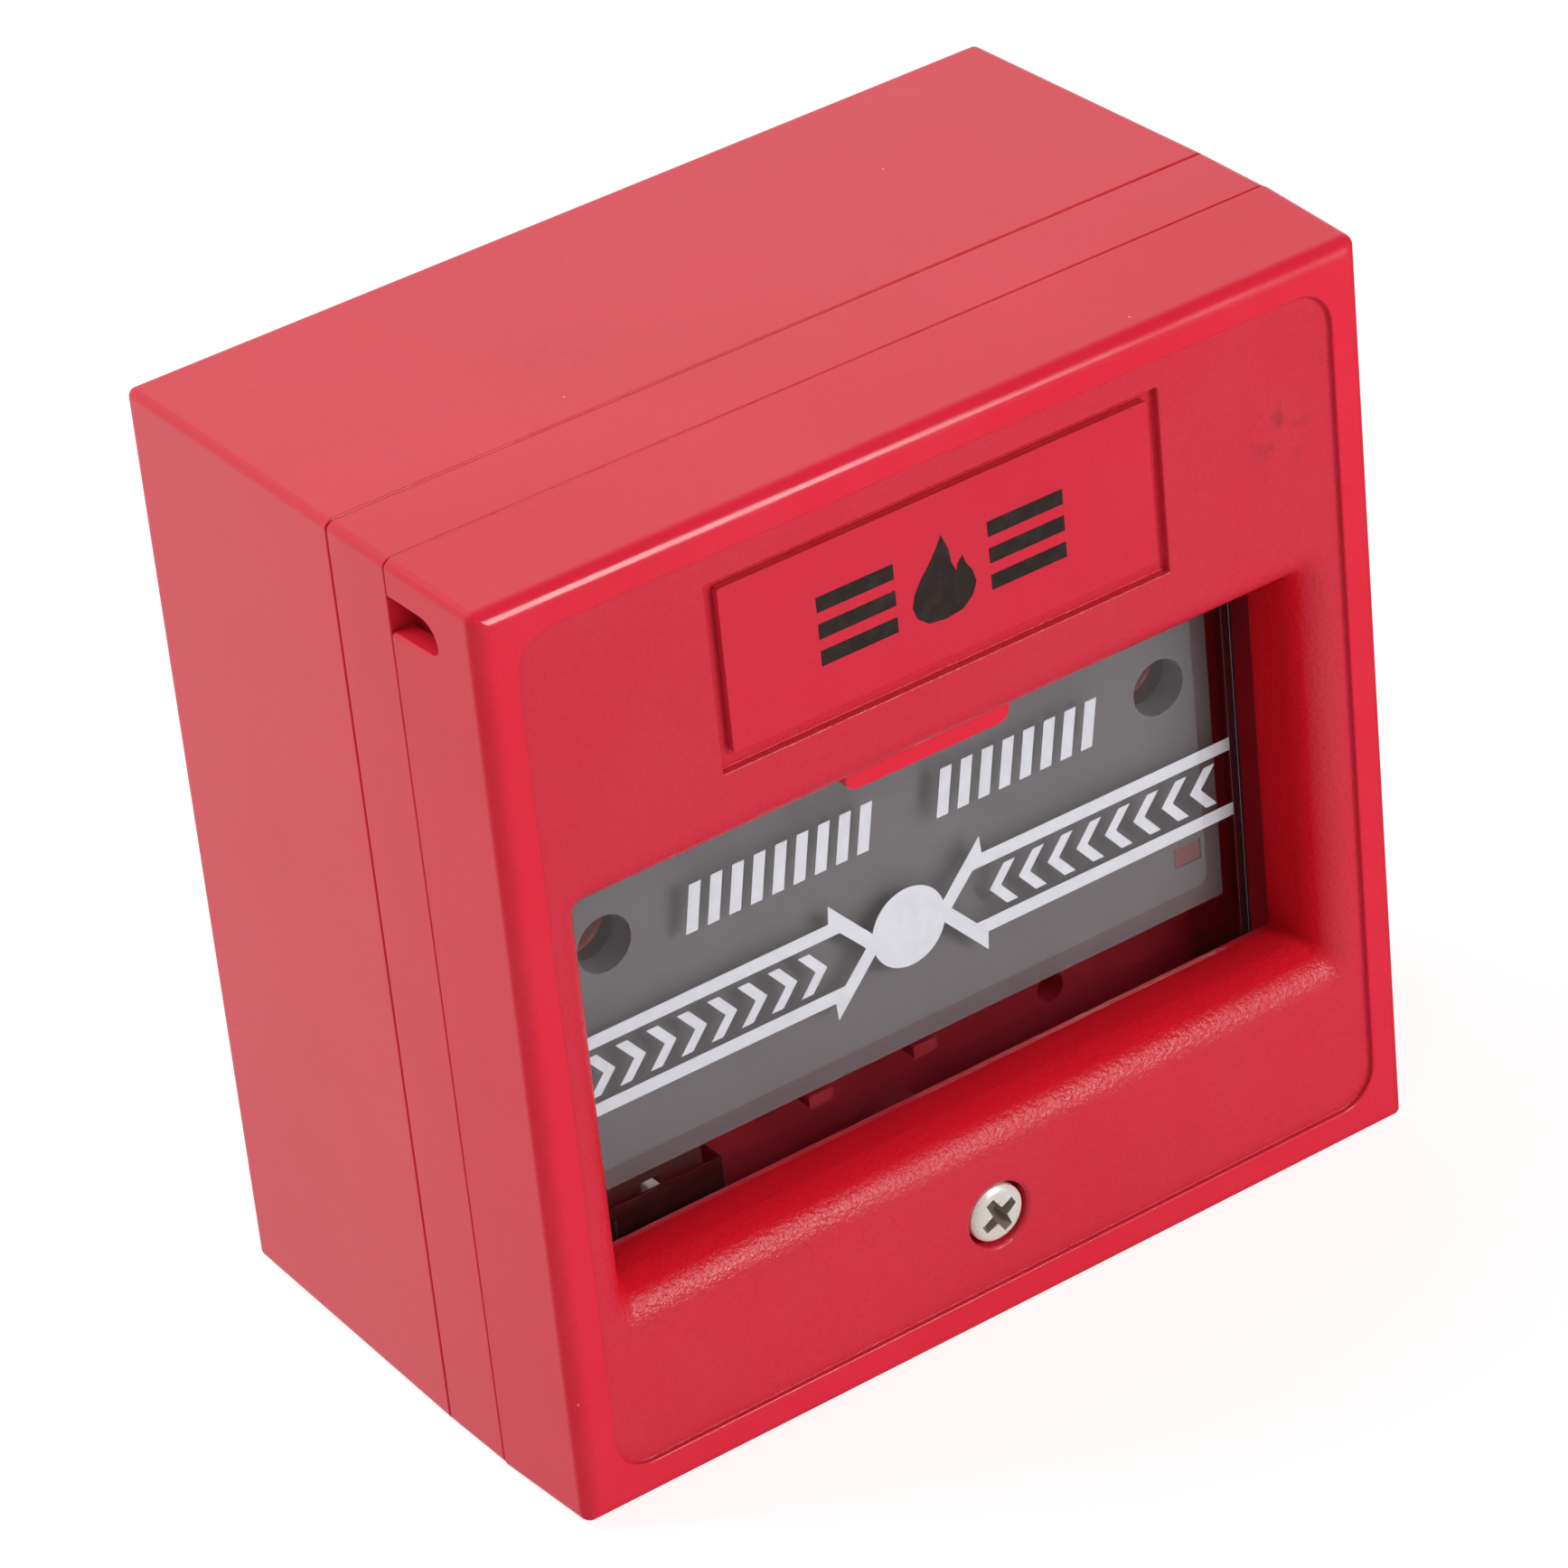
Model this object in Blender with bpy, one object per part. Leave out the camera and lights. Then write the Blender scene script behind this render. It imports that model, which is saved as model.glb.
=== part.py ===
"""Manual call point: a square red box on a wall, with a pane that is pressed to raise the fire alarm.

The frame is the back of the box: +Y points into the wall, +Z is up, and the front faces -Y. Lengths are
in millimetres here and become metres as each mesh is made. Depths are counted back from the front face.
"""

import math

import bmesh
import bpy
from mathutils import Matrix, Vector

MM = 0.001
GAP = 0.3  # clearance between neighbouring pieces

# Whole object
SIDE = 86.0
DEPTH = 50.8
HALF = SIDE / 2
CORNER = 0.8  # radius of the four long edges

# Where the three casings meet, as depths behind the front face
COVER_END = 12.1
RING_END = 20.2

# Front cover
COVER_FRONT_HALF = 42.7
FRONT_FILLET = 1.6
COVER_WALL = 2.0
COVER_INNER = HALF - COVER_WALL
PANEL_HALF = 39.4
PANEL_TOP = 39.6
PANEL_BOTTOM = -39.1
PANEL_STEP = 0.5
PANEL_CORNER = 3.5
WINDOW_TOP = 13.0
WINDOW_HALF = 35.5
LIP_RADIUS = 3.7
ROLL_RADIUS = 4.5
ROLL_TOP = -23.0
ROLL_FALL = 0.6  # how far the roll drops again by the window's rear edge
COVER_SKIN = 8.5  # depth of the window's rear edges
COVER_FACE_BACK = 3.2  # depth of the inside of the cover's face
TAB_HALF = 8.2
TAB_BOTTOM = 10.2
TAB_FRONT = 4.6
TAB_THICK = 1.6

# Label and its recess
RECESS_HALF = 22.0
RECESS_TOP = 36.9
RECESS_BOTTOM = 20.0
RECESS_FLOOR = 1.25
LABEL_HALF = 20.9
LABEL_TOP = 36.2
LABEL_BOTTOM = 21.4
LABEL_FRONT = 0.45

# Cover release slot in the left side
SLOT_BOTTOM = 36.6
SLOT_TOP = 39.75
SLOT_FRONT = 5.7

# Cover screw
SCREW_Z = -32.6
SCREW_FRONT = 0.4
SCREW_HEAD_R = 2.65
SCREW_HEAD = 2.0
SCREW_SHANK_R = 1.5
SCREW_TIP = 17.0
SCREW_WELL_R = 3.2
SCREW_WELL = 2.7
SCREW_BORE_R = 1.9

# Pane, its springs and the backing plate
PANE_HALF = 34.15
PANE_TOP = 21.5
PANE_BOTTOM = -27.4
PANE_FRONT = 8.8
PANE_BACK = 10.8
SPRING_PLACES = {"upper_left": (-24.0, 18.6), "upper_right": (24.0, 18.6), "centre": (0.0, -9.0)}
SPRING_R = 1.85
SPRING_WIRE_R = 0.28
SPRING_TURNS = 4
SPRING_PEG_R = 1.2
PLATE_HALF = 33.2
PLATE_TOP = 15.5
PLATE_BOTTOM = -21.0
PLATE_FRONT = 12.4
PLATE_BACK = 13.6

# Base frame
RING_HALF = 42.95
FRONT_LIP_HALF = COVER_INNER - GAP
FRONT_LIP_START = 9.6
RING_INNER = 39.5
CHASSIS_FRONT = 17.3
CHASSIS_BACK = 19.3
REAR_LIP_HALF = 40.4
REAR_LIP_INNER = 39.0
REAR_LIP_END = 23.5
POST_PLACES = [(-20.0, -16.0), (20.0, -16.0), (-20.0, 11.0), (20.0, 11.0)]
POST_R = 2.0
LUG_PLACES = [(x, PLATE_BOTTOM - 0.9) for x in (-9.3, 1.4)]
LUG_PLACES += [(x, PLATE_TOP + 0.9) for x in (-14.0, 14.0)]
LUG_FRONT = 12.2
LAMP_PLACE = (29.8, -15.5)
MOULD_HOLE = (18.0, -26.0)

# Screws that hold the base frame to the box
FIXING_X = 28.0
FIXING_Z = 1.7
FIXING_BOSS_R = 4.2
FIXING_WELL_R = 3.2
FIXING_SEAT = 20.6
FIXING_WELL_END = 22.5

# Back box
BOX_FRONT_HALF = 42.95
BOX_BACK_HALF = 42.45
BOX_INNER_FRONT = 40.75
BOX_INNER_BACK = 40.3
BOX_FLOOR = 2.6
BOX_EDGE = 0.8
BOX_SLOT_Z = 30.15
CABLE_HALF_WIDTH = 13.0
CABLE_BOTTOM = 9.0
CABLE_TOP = 23.0
KNOCKOUT_R = 10.0
KNOCKOUT_DEPTH = 35.8
KNOCKOUT_WEB = 1.0

# Threaded inserts
INSERT_R = 2.3
INSERT_BORE_R = 1.85
INSERT_LENGTH = 6.0

# Microswitch
SWITCH_LEFT = -31.4
SWITCH_RIGHT = -18.6
SWITCH_BOTTOM = -28.1
SWITCH_TOP = -22.3
SWITCH_FRONT = 14.9
SWITCH_BACK = 21.4
SWITCH_MID_Z = (SWITCH_BOTTOM + SWITCH_TOP) / 2
SWITCH_OPENING_TOP = SWITCH_TOP + 1.3
BUTTON_X = -24.9
BUTTON_TIP = 13.55
PIVOT_X = -19.2
PIVOT_DEPTH = 14.2
LEVER_HALF = 1.8
LEVER_FRONT = 12.9
LEVER_THICK = 0.3
LEVER_END = -31.1
LEVER_TIP = 11.2  # depth of the bent end that the pane pushes
PIN_PLACES = {"left": -29.2, "right": -20.8}
PIN_DEPTH = 16.6
PIN_R = 0.8
SHELF_TOP = -28.4
SHELF_BOTTOM = -30.6
TERMINALS = {"common": -30.0, "closed": -25.2, "open": -20.2}

# Circuit board and what is on it
BOARD_LEFT = -34.0
BOARD_RIGHT = 34.0
BOARD_BOTTOM = -30.0
BOARD_TOP = -9.0
BOARD_FRONT = 24.0
BOARD_BACK = 25.6
BOARD_SCREWS = {"left": (-30.5, -12.5), "right": (31.0, -26.5)}
STANDOFF_R = 3.0
BLOCK_HALF = 10.0
BLOCK_TOP = -14.0
BLOCK_BOTTOM = -23.0
BLOCK_FRONT = 25.9
BLOCK_BACK = 34.5
WAYS = [-7.5, -2.5, 2.5, 7.5]
RESISTORS = {"alarm": (-19.0, -13.5), "line": (19.0, -13.5)}

ARC_STEPS = 8
ROUND = 20  # sides of a turned piece


def at(depth):
    """World Y of a depth behind the front face."""
    return depth - DEPTH


# ---------------------------------------------------------------- materials

def material(name, colour, roughness, metallic=0.0, transmission=0.0):
    found = bpy.data.materials.get(name)
    if found:
        return found
    made = bpy.data.materials.new(name)
    made.use_nodes = True
    shader = made.node_tree.nodes["Principled BSDF"]
    shader.inputs["Base Color"].default_value = (*colour, 1.0)
    shader.inputs["Roughness"].default_value = roughness
    shader.inputs["Metallic"].default_value = metallic
    shader.inputs["Transmission Weight"].default_value = transmission
    return made


def red_casing():
    return material("red_casing", (0.62, 0.012, 0.025), 0.35)


def red_label():
    return material("red_label", (0.68, 0.015, 0.03), 0.2)


def grey_plate():
    return material("grey_plate", (0.2, 0.19, 0.19), 0.5)


def clear_pane():
    return material("clear_pane", (0.9, 0.92, 0.92), 0.05, transmission=0.9)


def nickel():
    return material("nickel", (0.72, 0.66, 0.58), 0.25, metallic=1.0)


def brass():
    return material("brass", (0.78, 0.57, 0.25), 0.3, metallic=1.0)


def spring_steel():
    return material("spring_steel", (0.55, 0.55, 0.56), 0.3, metallic=1.0)


def black_plastic():
    return material("black_plastic", (0.02, 0.02, 0.02), 0.45)


def board_green():
    return material("board_green", (0.02, 0.12, 0.05), 0.4)


def block_green():
    return material("block_green", (0.05, 0.3, 0.12), 0.5)


def lamp_red():
    return material("lamp_red", (0.75, 0.03, 0.03), 0.15)


def washer_white():
    return material("washer_white", (0.8, 0.8, 0.78), 0.5)


def resistor_beige():
    return material("resistor_beige", (0.65, 0.5, 0.33), 0.5)


# ---------------------------------------------------------------- outlines

def arc(cx, cz, radius, start, end, steps=ARC_STEPS):
    """Points from one angle to another, in degrees, both ends included."""
    points = []
    for i in range(steps + 1):
        angle = math.radians(start + (end - start) * i / steps)
        points.append((cx + radius * math.cos(angle), cz + radius * math.sin(angle)))
    return points


def rounded_rectangle(x0, x1, z0, z1, radius, steps=4):
    """Anticlockwise outline, starting at the lower right corner."""
    return (
        arc(x1 - radius, z0 + radius, radius, -90, 0, steps)
        + arc(x1 - radius, z1 - radius, radius, 0, 90, steps)
        + arc(x0 + radius, z1 - radius, radius, 90, 180, steps)
        + arc(x0 + radius, z0 + radius, radius, 180, 270, steps)
    )


def rounded_square(half, radius, steps=4):
    return rounded_rectangle(-half, half, -half, half, radius, steps)


def circle(cx, cz, radius, sides=ROUND):
    return arc(cx, cz, radius, 0, 360 - 360 / sides, sides - 1)


def rectangle(x0, x1, z0, z1):
    return [(x0, z0), (x1, z0), (x1, z1), (x0, z1)]


# ---------------------------------------------------------------- meshes

def loft(rings):
    """A closed mesh through rings of equal length: side faces between them and a cap on each end."""
    mesh = bmesh.new()
    rows = [[mesh.verts.new(point) for point in ring] for ring in rings]
    count = len(rows[0])
    for lower, upper in zip(rows, rows[1:]):
        for i in range(count):
            j = (i + 1) % count
            mesh.faces.new((lower[i], lower[j], upper[j], upper[i]))
    mesh.faces.new(rows[0])
    mesh.faces.new(rows[-1])
    bmesh.ops.recalc_face_normals(mesh, faces=mesh.faces)
    return mesh


def prism_y(outline, front, back):
    """An outline in X and Z, extruded between two depths."""
    return loft([[(x, at(depth), z) for x, z in outline] for depth in (front, back)])


def prism_x(outline, x0, x1):
    """An outline in depth and Z, extruded along X."""
    return loft([[(x, at(depth), z) for depth, z in outline] for x in (x0, x1)])


def prism_z(outline, z0, z1):
    """An outline in X and depth, extruded along Z."""
    return loft([[(x, at(depth), z) for x, depth in outline] for z in (z0, z1)])


def turned_y(cx, cz, profile, sides=ROUND):
    """A piece turned about a line along Y: the profile is a list of (radius, depth)."""
    return loft([[(x, at(depth), z) for x, z in circle(cx, cz, radius, sides)] for radius, depth in profile])


def turned_z(cx, depth, profile, sides=ROUND):
    """A piece turned about a line along Z: the profile is a list of (radius, z)."""
    return loft([[(x, at(d), z) for x, d in circle(cx, depth, radius, sides)] for radius, z in profile])


def swept(points, radius, sides=6):
    """A round wire along a path, with its rings square to the path."""
    path = [Vector(point) for point in points]
    rings = []
    side = Vector((0, 0, 1))
    for i, point in enumerate(path):
        along = (path[min(i + 1, len(path) - 1)] - path[max(i - 1, 0)]).normalized()
        side = (side - along * side.dot(along)).normalized()
        other = along.cross(side)
        ring = []
        for k in range(sides):
            angle = 2 * math.pi * k / sides
            ring.append(point + radius * (math.cos(angle) * side + math.sin(angle) * other))
        rings.append(ring)
    return loft(rings)


def closed_tube(rings):
    """A ring-shaped mesh: the last ring joins the first, so it needs no caps."""
    mesh = bmesh.new()
    rows = [[mesh.verts.new(point) for point in ring] for ring in rings]
    count = len(rows[0])
    for k, lower in enumerate(rows):
        upper = rows[(k + 1) % len(rows)]
        for i in range(count):
            j = (i + 1) % count
            mesh.faces.new((lower[i], lower[j], upper[j], upper[i]))
    bmesh.ops.recalc_face_normals(mesh, faces=mesh.faces)
    return mesh


def sleeve_y(cx, cz, profile, sides=ROUND):
    """A turned piece with a hole: the profile is a closed list of (radius, depth)."""
    return closed_tube([[(x, at(d), z) for x, z in circle(cx, cz, r, sides)] for r, d in profile])


# ---------------------------------------------------------------- objects

def put(name, mesh, finish=None, origin=(0, 0, 0)):
    """Makes an object from a mesh in millimetres, with its origin at the given world point."""
    shift = Vector(origin)
    bmesh.ops.transform(mesh, matrix=Matrix.Scale(MM, 4) @ Matrix.Translation(-shift), verts=mesh.verts)
    data = bpy.data.meshes.new(name)
    mesh.to_mesh(data)
    mesh.free()
    data.shade_smooth()
    data.set_sharp_from_angle(angle=math.radians(35))
    made = bpy.data.objects.new(name, data)
    made.location = shift * MM
    bpy.context.scene.collection.objects.link(made)
    if finish:
        data.materials.append(finish)
    return made


def helper(mesh):
    """A cutter or an added shape: hidden, because only its effect counts."""
    made = put(f"helper_{len(bpy.data.objects):03d}", mesh)
    made.hide_render = True
    made.display_type = "WIRE"
    return made


def boolean(target, mesh, operation):
    other = mesh if isinstance(mesh, bpy.types.Object) else helper(mesh)
    change = target.modifiers.new(f"{operation.lower()}_{len(target.modifiers)}", "BOOLEAN")
    change.operation = operation
    change.solver = "EXACT"
    change.object = other


def cut(target, *meshes):
    for mesh in meshes:
        boolean(target, mesh, "DIFFERENCE")


def add(target, *meshes):
    for mesh in meshes:
        boolean(target, mesh, "UNION")


# ---------------------------------------------------------------- front cover

def window_cutter():
    """The recess around the pane: a rounded lip above and at the sides, and a bigger roll below."""
    front = -1.0
    back = COVER_SKIN + 1.0
    lip_depth = PANEL_STEP + LIP_RADIUS
    lip_z = WINDOW_TOP + LIP_RADIUS
    roll_depth = PANEL_STEP + ROLL_RADIUS
    roll_z = ROLL_TOP - ROLL_RADIUS
    profile = [(front, roll_z)]
    profile += arc(roll_depth, roll_z, ROLL_RADIUS, 180, 90)
    profile += [(COVER_SKIN, ROLL_TOP - ROLL_FALL), (back, ROLL_TOP - ROLL_FALL), (back, WINDOW_TOP)]
    profile += arc(lip_depth, lip_z, LIP_RADIUS, 270, 180)
    profile += [(front, lip_z)]
    across = helper(prism_x(profile, -PANEL_HALF - 4, PANEL_HALF + 4))
    flank = arc(WINDOW_HALF + LIP_RADIUS, lip_depth, LIP_RADIUS, 270, 180)
    right = [(PANEL_HALF - 0.1, front)] + flank[1:] + [(WINDOW_HALF, back)]
    left = [(-x, d) for x, d in reversed(right)]
    boolean(across, prism_z(right + left, roll_z - 4, lip_z + 4), "INTERSECT")
    return across


def cover_pockets():
    """The hollow behind the cover's front: deep above and below the window, and a wedge on each side."""
    rear = COVER_END + 1
    inner = COVER_INNER
    yield prism_y(rounded_square(inner, 1.0), COVER_SKIN, rear)
    deep = inner - 0.1
    for low, high in ((WINDOW_TOP + 2.9, deep), (-deep, ROLL_TOP - 2.9)):
        yield prism_y(rectangle(-deep, deep, low, high), COVER_FACE_BACK, rear - 0.5)
    edge = inner - 0.15
    wedge = [(edge, 5.2), (inner - 1.0, 5.2), (WINDOW_HALF + 2.2, COVER_SKIN)]
    wedge += [(WINDOW_HALF + 2.2, rear - 0.7), (edge, rear - 0.7)]
    for side in (1, -1):
        yield prism_z([(side * x, depth) for x, depth in wedge], ROLL_TOP - 3.5, WINDOW_TOP + 3.5)


def slot_cutter():
    """D-shaped slot from the cover's rear edge into its left side: flat behind, round in front."""
    radius = 1.9
    foot = 0.6
    outline = [(COVER_END + 1, SLOT_BOTTOM), (SLOT_FRONT + foot + 0.2, SLOT_BOTTOM + 0.3)]
    outline += [(SLOT_FRONT + 0.1, SLOT_BOTTOM + foot + 0.3)]
    outline += arc(SLOT_FRONT + radius, SLOT_TOP - radius, radius, 180, 90, 5)
    outline += [(COVER_END + 1, SLOT_TOP)]
    return prism_x(outline, -HALF - 1, -HALF + COVER_WALL + 1)


def front_cover():
    back = COVER_END - GAP / 2
    rings = [(HALF, CORNER, back), (COVER_FRONT_HALF + 0.04, CORNER, FRONT_FILLET)]
    for i in range(1, 5):
        angle = math.radians(90 * i / 4)
        inset = FRONT_FILLET * (1 - math.cos(angle))
        depth = FRONT_FILLET * (1 - math.sin(angle))
        rings.append((COVER_FRONT_HALF - inset, max(CORNER - inset, 0.4), depth))
    shell = loft([[(x, at(d), z) for x, z in rounded_square(h, r)] for h, r, d in rings])
    hinge = (0, at(COVER_END), HALF)
    cover = put("front_cover", shell, red_casing(), hinge)
    panel = rounded_rectangle(-PANEL_HALF, PANEL_HALF, PANEL_BOTTOM, PANEL_TOP, PANEL_CORNER)
    cut(cover, prism_y(panel, -1, PANEL_STEP))
    cut(cover, window_cutter())
    cut(cover, *cover_pockets())
    recess = rectangle(-RECESS_HALF, RECESS_HALF, RECESS_BOTTOM, RECESS_TOP)
    cut(cover, prism_y(recess, -1, RECESS_FLOOR))
    boss_end = 9.4
    add(cover, turned_y(0, SCREW_Z, [(4.6, COVER_FACE_BACK - 0.8), (4.6, boss_end)]))
    well = [(SCREW_WELL_R, -1), (SCREW_WELL_R, SCREW_WELL), (SCREW_BORE_R, SCREW_WELL), (SCREW_BORE_R, 13)]
    cut(cover, turned_y(0, SCREW_Z, well))
    cut(cover, turned_y(0, SCREW_Z, [(3.6, boss_end - 1.3), (3.6, 13)]))
    tab = [(-TAB_HALF, WINDOW_TOP + 1)] + arc(-TAB_HALF + 1.2, TAB_BOTTOM + 1.2, 1.2, 180, 270, 4)
    tab += arc(TAB_HALF - 1.2, TAB_BOTTOM + 1.2, 1.2, 270, 360, 4) + [(TAB_HALF, WINDOW_TOP + 1)]
    add(cover, prism_y(tab, TAB_FRONT, TAB_FRONT + TAB_THICK))
    cut(cover, slot_cutter())


def label_insert():
    bevel = 0.25
    back = RECESS_FLOOR - GAP
    outline = (-LABEL_HALF, LABEL_HALF, LABEL_BOTTOM, LABEL_TOP)
    x0, x1, z0, z1 = outline
    full = rounded_rectangle(x0, x1, z0, z1, 0.5, 3)
    inset = rounded_rectangle(x0 + bevel, x1 - bevel, z0 + bevel, z1 - bevel, 0.3, 3)
    rings = [(full, back), (full, LABEL_FRONT + bevel), (inset, LABEL_FRONT)]
    mesh = loft([[(x, at(d), z) for x, z in ring] for ring, d in rings])
    put("label_insert", mesh, red_label())


# ---------------------------------------------------------------- screws and inserts

def cross_recess(target, cx, cz, face, reach, depth):
    """A tapered cross cut into a screw head that faces -Y."""
    for turn in (0, 90):
        outline = [(-reach, -0.35), (reach, -0.35), (reach, 0.35), (-reach, 0.35)]
        spin = Matrix.Rotation(math.radians(turn), 2)
        spun = [spin @ Vector(point) for point in outline]
        top = [(cx + x, at(face - 0.3), cz + z) for x, z in spun]
        bottom = [(cx + 0.45 * x, at(face + depth), cz + 0.45 * z) for x, z in spun]
        cut(target, loft([top, bottom]))


def machine_screw(name, cx, cz, face, head_r, head, shank_r, tip, origin=(0, 0, 0), dome=0.35):
    """A domed-head machine screw along Y, its head towards the front."""
    profile = [(head_r * 0.6, face), (head_r * 0.9, face + dome * 0.45), (head_r, face + dome + 0.3)]
    profile += [(head_r, face + head), (shank_r, face + head), (shank_r, tip - 0.6), (shank_r * 0.6, tip)]
    screw = put(name, turned_y(cx, cz, profile), nickel(), origin)
    cross_recess(screw, cx, cz, face, head_r * 0.62, head * 0.55)
    return screw


def threaded_insert(name, cx, cz, start):
    groove = INSERT_R - 0.35
    end = start + INSERT_LENGTH
    profile = [(INSERT_BORE_R, start), (INSERT_R, start), (INSERT_R, start + 2.2), (groove, start + 2.5)]
    profile += [(groove, end - 2.5), (INSERT_R, end - 2.2), (INSERT_R, end), (INSERT_BORE_R, end)]
    put(name, sleeve_y(cx, cz, profile), brass())


def cover_fixing():
    axis = (0, at(SCREW_FRONT), SCREW_Z)
    machine_screw(
        "cover_screw", 0, SCREW_Z, SCREW_FRONT, SCREW_HEAD_R, SCREW_HEAD, SCREW_SHANK_R, SCREW_TIP, axis
    )
    start = 8.5
    end = start + 0.8
    hole = SCREW_SHANK_R + 0.2
    ring = [(hole, start), (3.2, start), (3.2, end), (hole, end)]
    put("retaining_washer", sleeve_y(0, SCREW_Z, ring), washer_white(), axis)
    threaded_insert("cover_screw_insert", 0, SCREW_Z, 12.8)


def frame_fixings():
    for side, sign in (("left", -1), ("right", 1)):
        x = sign * FIXING_X
        face = FIXING_SEAT - GAP - 2.0
        machine_screw(f"frame_screw_{side}", x, FIXING_Z, face, 2.7, 2.0, SCREW_SHANK_R, 31.0)
        threaded_insert(f"box_insert_{side}", x, FIXING_Z, 23.1)


# ---------------------------------------------------------------- pane and backing plate

def pane():
    edge = 0.25
    full = rounded_rectangle(-PANE_HALF, PANE_HALF, PANE_BOTTOM, PANE_TOP, 0.8, 3)
    inset = rounded_rectangle(
        -PANE_HALF + edge, PANE_HALF - edge, PANE_BOTTOM + edge, PANE_TOP - edge, 0.6, 3
    )
    rings = [(inset, PANE_FRONT), (full, PANE_FRONT + edge), (full, PANE_BACK - edge), (inset, PANE_BACK)]
    mesh = loft([[(x, at(d), z) for x, z in ring] for ring, d in rings])
    put("pane", mesh, clear_pane(), (0, at(PANE_BACK), 0))


def backing_plate():
    outline = rounded_rectangle(-PLATE_HALF, PLATE_HALF, PLATE_BOTTOM, PLATE_TOP, 0.3, 3)
    plate = put("backing_plate", prism_y(outline, PLATE_FRONT, PLATE_BACK), grey_plate())
    for sign in (-1, 1):
        cut(plate, prism_y(circle(sign * FIXING_X, FIXING_Z, 2.6), PLATE_FRONT - 1, PLATE_BACK + 1))
    x, z = SPRING_PLACES["centre"]
    cut(plate, prism_y(circle(x, z, SPRING_R + SPRING_WIRE_R + GAP), PLATE_FRONT - 1, PLATE_BACK + 1))
    x, z = LAMP_PLACE
    cut(plate, prism_y(rectangle(x - 1.4, x + 1.4, z - 1.0, z + 1.0), PLATE_FRONT - 1, PLATE_BACK + 1))


def pane_springs():
    start = PANE_BACK + GAP + SPRING_WIRE_R
    end = CHASSIS_FRONT - GAP - SPRING_WIRE_R
    per_turn = 12
    for name, (cx, cz) in SPRING_PLACES.items():
        points = []
        steps = SPRING_TURNS * per_turn
        for i in range(steps + 1):
            angle = 2 * math.pi * i / per_turn
            share = min(max((i - per_turn / 2) / (steps - per_turn), 0), 1)
            rise = start + (end - start) * share
            rise += 0.02 * i / steps
            points.append((cx + SPRING_R * math.cos(angle), at(rise), cz + SPRING_R * math.sin(angle)))
        put(f"pane_spring_{name}", swept(points, SPRING_WIRE_R, 5), spring_steel(), (cx, at(end), cz))


# ---------------------------------------------------------------- base frame

def base_frame():
    front = COVER_END + GAP / 2
    back = RING_END - GAP / 2
    rings = [
        (REAR_LIP_INNER, 1.0, CHASSIS_BACK),
        (REAR_LIP_INNER, 1.0, REAR_LIP_END),
        (REAR_LIP_HALF, 1.4, REAR_LIP_END),
        (REAR_LIP_HALF, 1.4, back),
        (RING_HALF, CORNER, back),
        (RING_HALF, CORNER, front),
        (FRONT_LIP_HALF, 1.4, front),
        (FRONT_LIP_HALF, 1.4, FRONT_LIP_START),
        (RING_INNER, 0.8, FRONT_LIP_START),
        (RING_INNER, 0.8, CHASSIS_FRONT),
    ]
    mesh = loft([[(x, at(d), z) for x, z in rounded_square(h, r)] for h, r, d in rings])
    frame = put("base_frame", mesh, red_casing())
    root = CHASSIS_FRONT + 0.7
    for x, z in POST_PLACES:
        add(frame, turned_y(x, z, [(POST_R, PLATE_BACK + GAP), (POST_R, root)], 12))
    for x, z in LUG_PLACES:
        add(frame, prism_y(rectangle(x - 1.2, x + 1.2, z - 0.6, z + 0.6), LUG_FRONT, root))
    for x, z in SPRING_PLACES.values():
        peg = [(SPRING_PEG_R * 0.8, 13.2), (SPRING_PEG_R, 13.7), (SPRING_PEG_R, root)]
        add(frame, turned_y(x, z, peg, 10))
    for side in (-1, 1):
        x = side * FIXING_X
        add(frame, turned_y(x, FIXING_Z, [(FIXING_BOSS_R, root), (FIXING_BOSS_R, FIXING_WELL_END)]))
        cut(frame, turned_y(x, FIXING_Z, [(FIXING_WELL_R, 16), (FIXING_WELL_R, FIXING_SEAT)]))
        bore = [(SCREW_BORE_R, FIXING_SEAT - 1), (SCREW_BORE_R, FIXING_WELL_END + 1)]
        cut(frame, turned_y(x, FIXING_Z, bore))
    add(frame, turned_y(0, SCREW_Z, [(FIXING_BOSS_R, 12.5), (FIXING_BOSS_R, root)]))
    cut(frame, turned_y(0, SCREW_Z, [(INSERT_R + GAP, 12), (INSERT_R + GAP, CHASSIS_BACK + 1)]))
    switch_mount(frame)
    board_mounts(frame, root)
    x, z = LAMP_PLACE
    cut(frame, prism_y(circle(x, z, 2.3), CHASSIS_FRONT - 1, CHASSIS_BACK + 1))
    x, z = MOULD_HOLE
    cut(frame, prism_y(circle(x, z, 1.4, 12), CHASSIS_FRONT - 1, CHASSIS_BACK + 1))


def switch_mount(frame):
    """A shelf under the microswitch, the opening it stands in and the holes for its two pins."""
    shelf = rectangle(SWITCH_LEFT - 0.6, SWITCH_RIGHT + 0.6, SHELF_BOTTOM, SHELF_TOP)
    add(frame, prism_y(shelf, SWITCH_FRONT, CHASSIS_FRONT + 0.7))
    opening = rectangle(SWITCH_LEFT - 0.5, SWITCH_RIGHT + 0.5, SHELF_TOP, SWITCH_OPENING_TOP)
    cut(frame, prism_y(opening, CHASSIS_FRONT - 1, CHASSIS_BACK + 1))
    hole = PIN_R + GAP
    for x in PIN_PLACES.values():
        cut(frame, turned_z(x, PIN_DEPTH, [(hole, SHELF_BOTTOM - 1), (hole, SHELF_TOP + 1)], 12))


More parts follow.
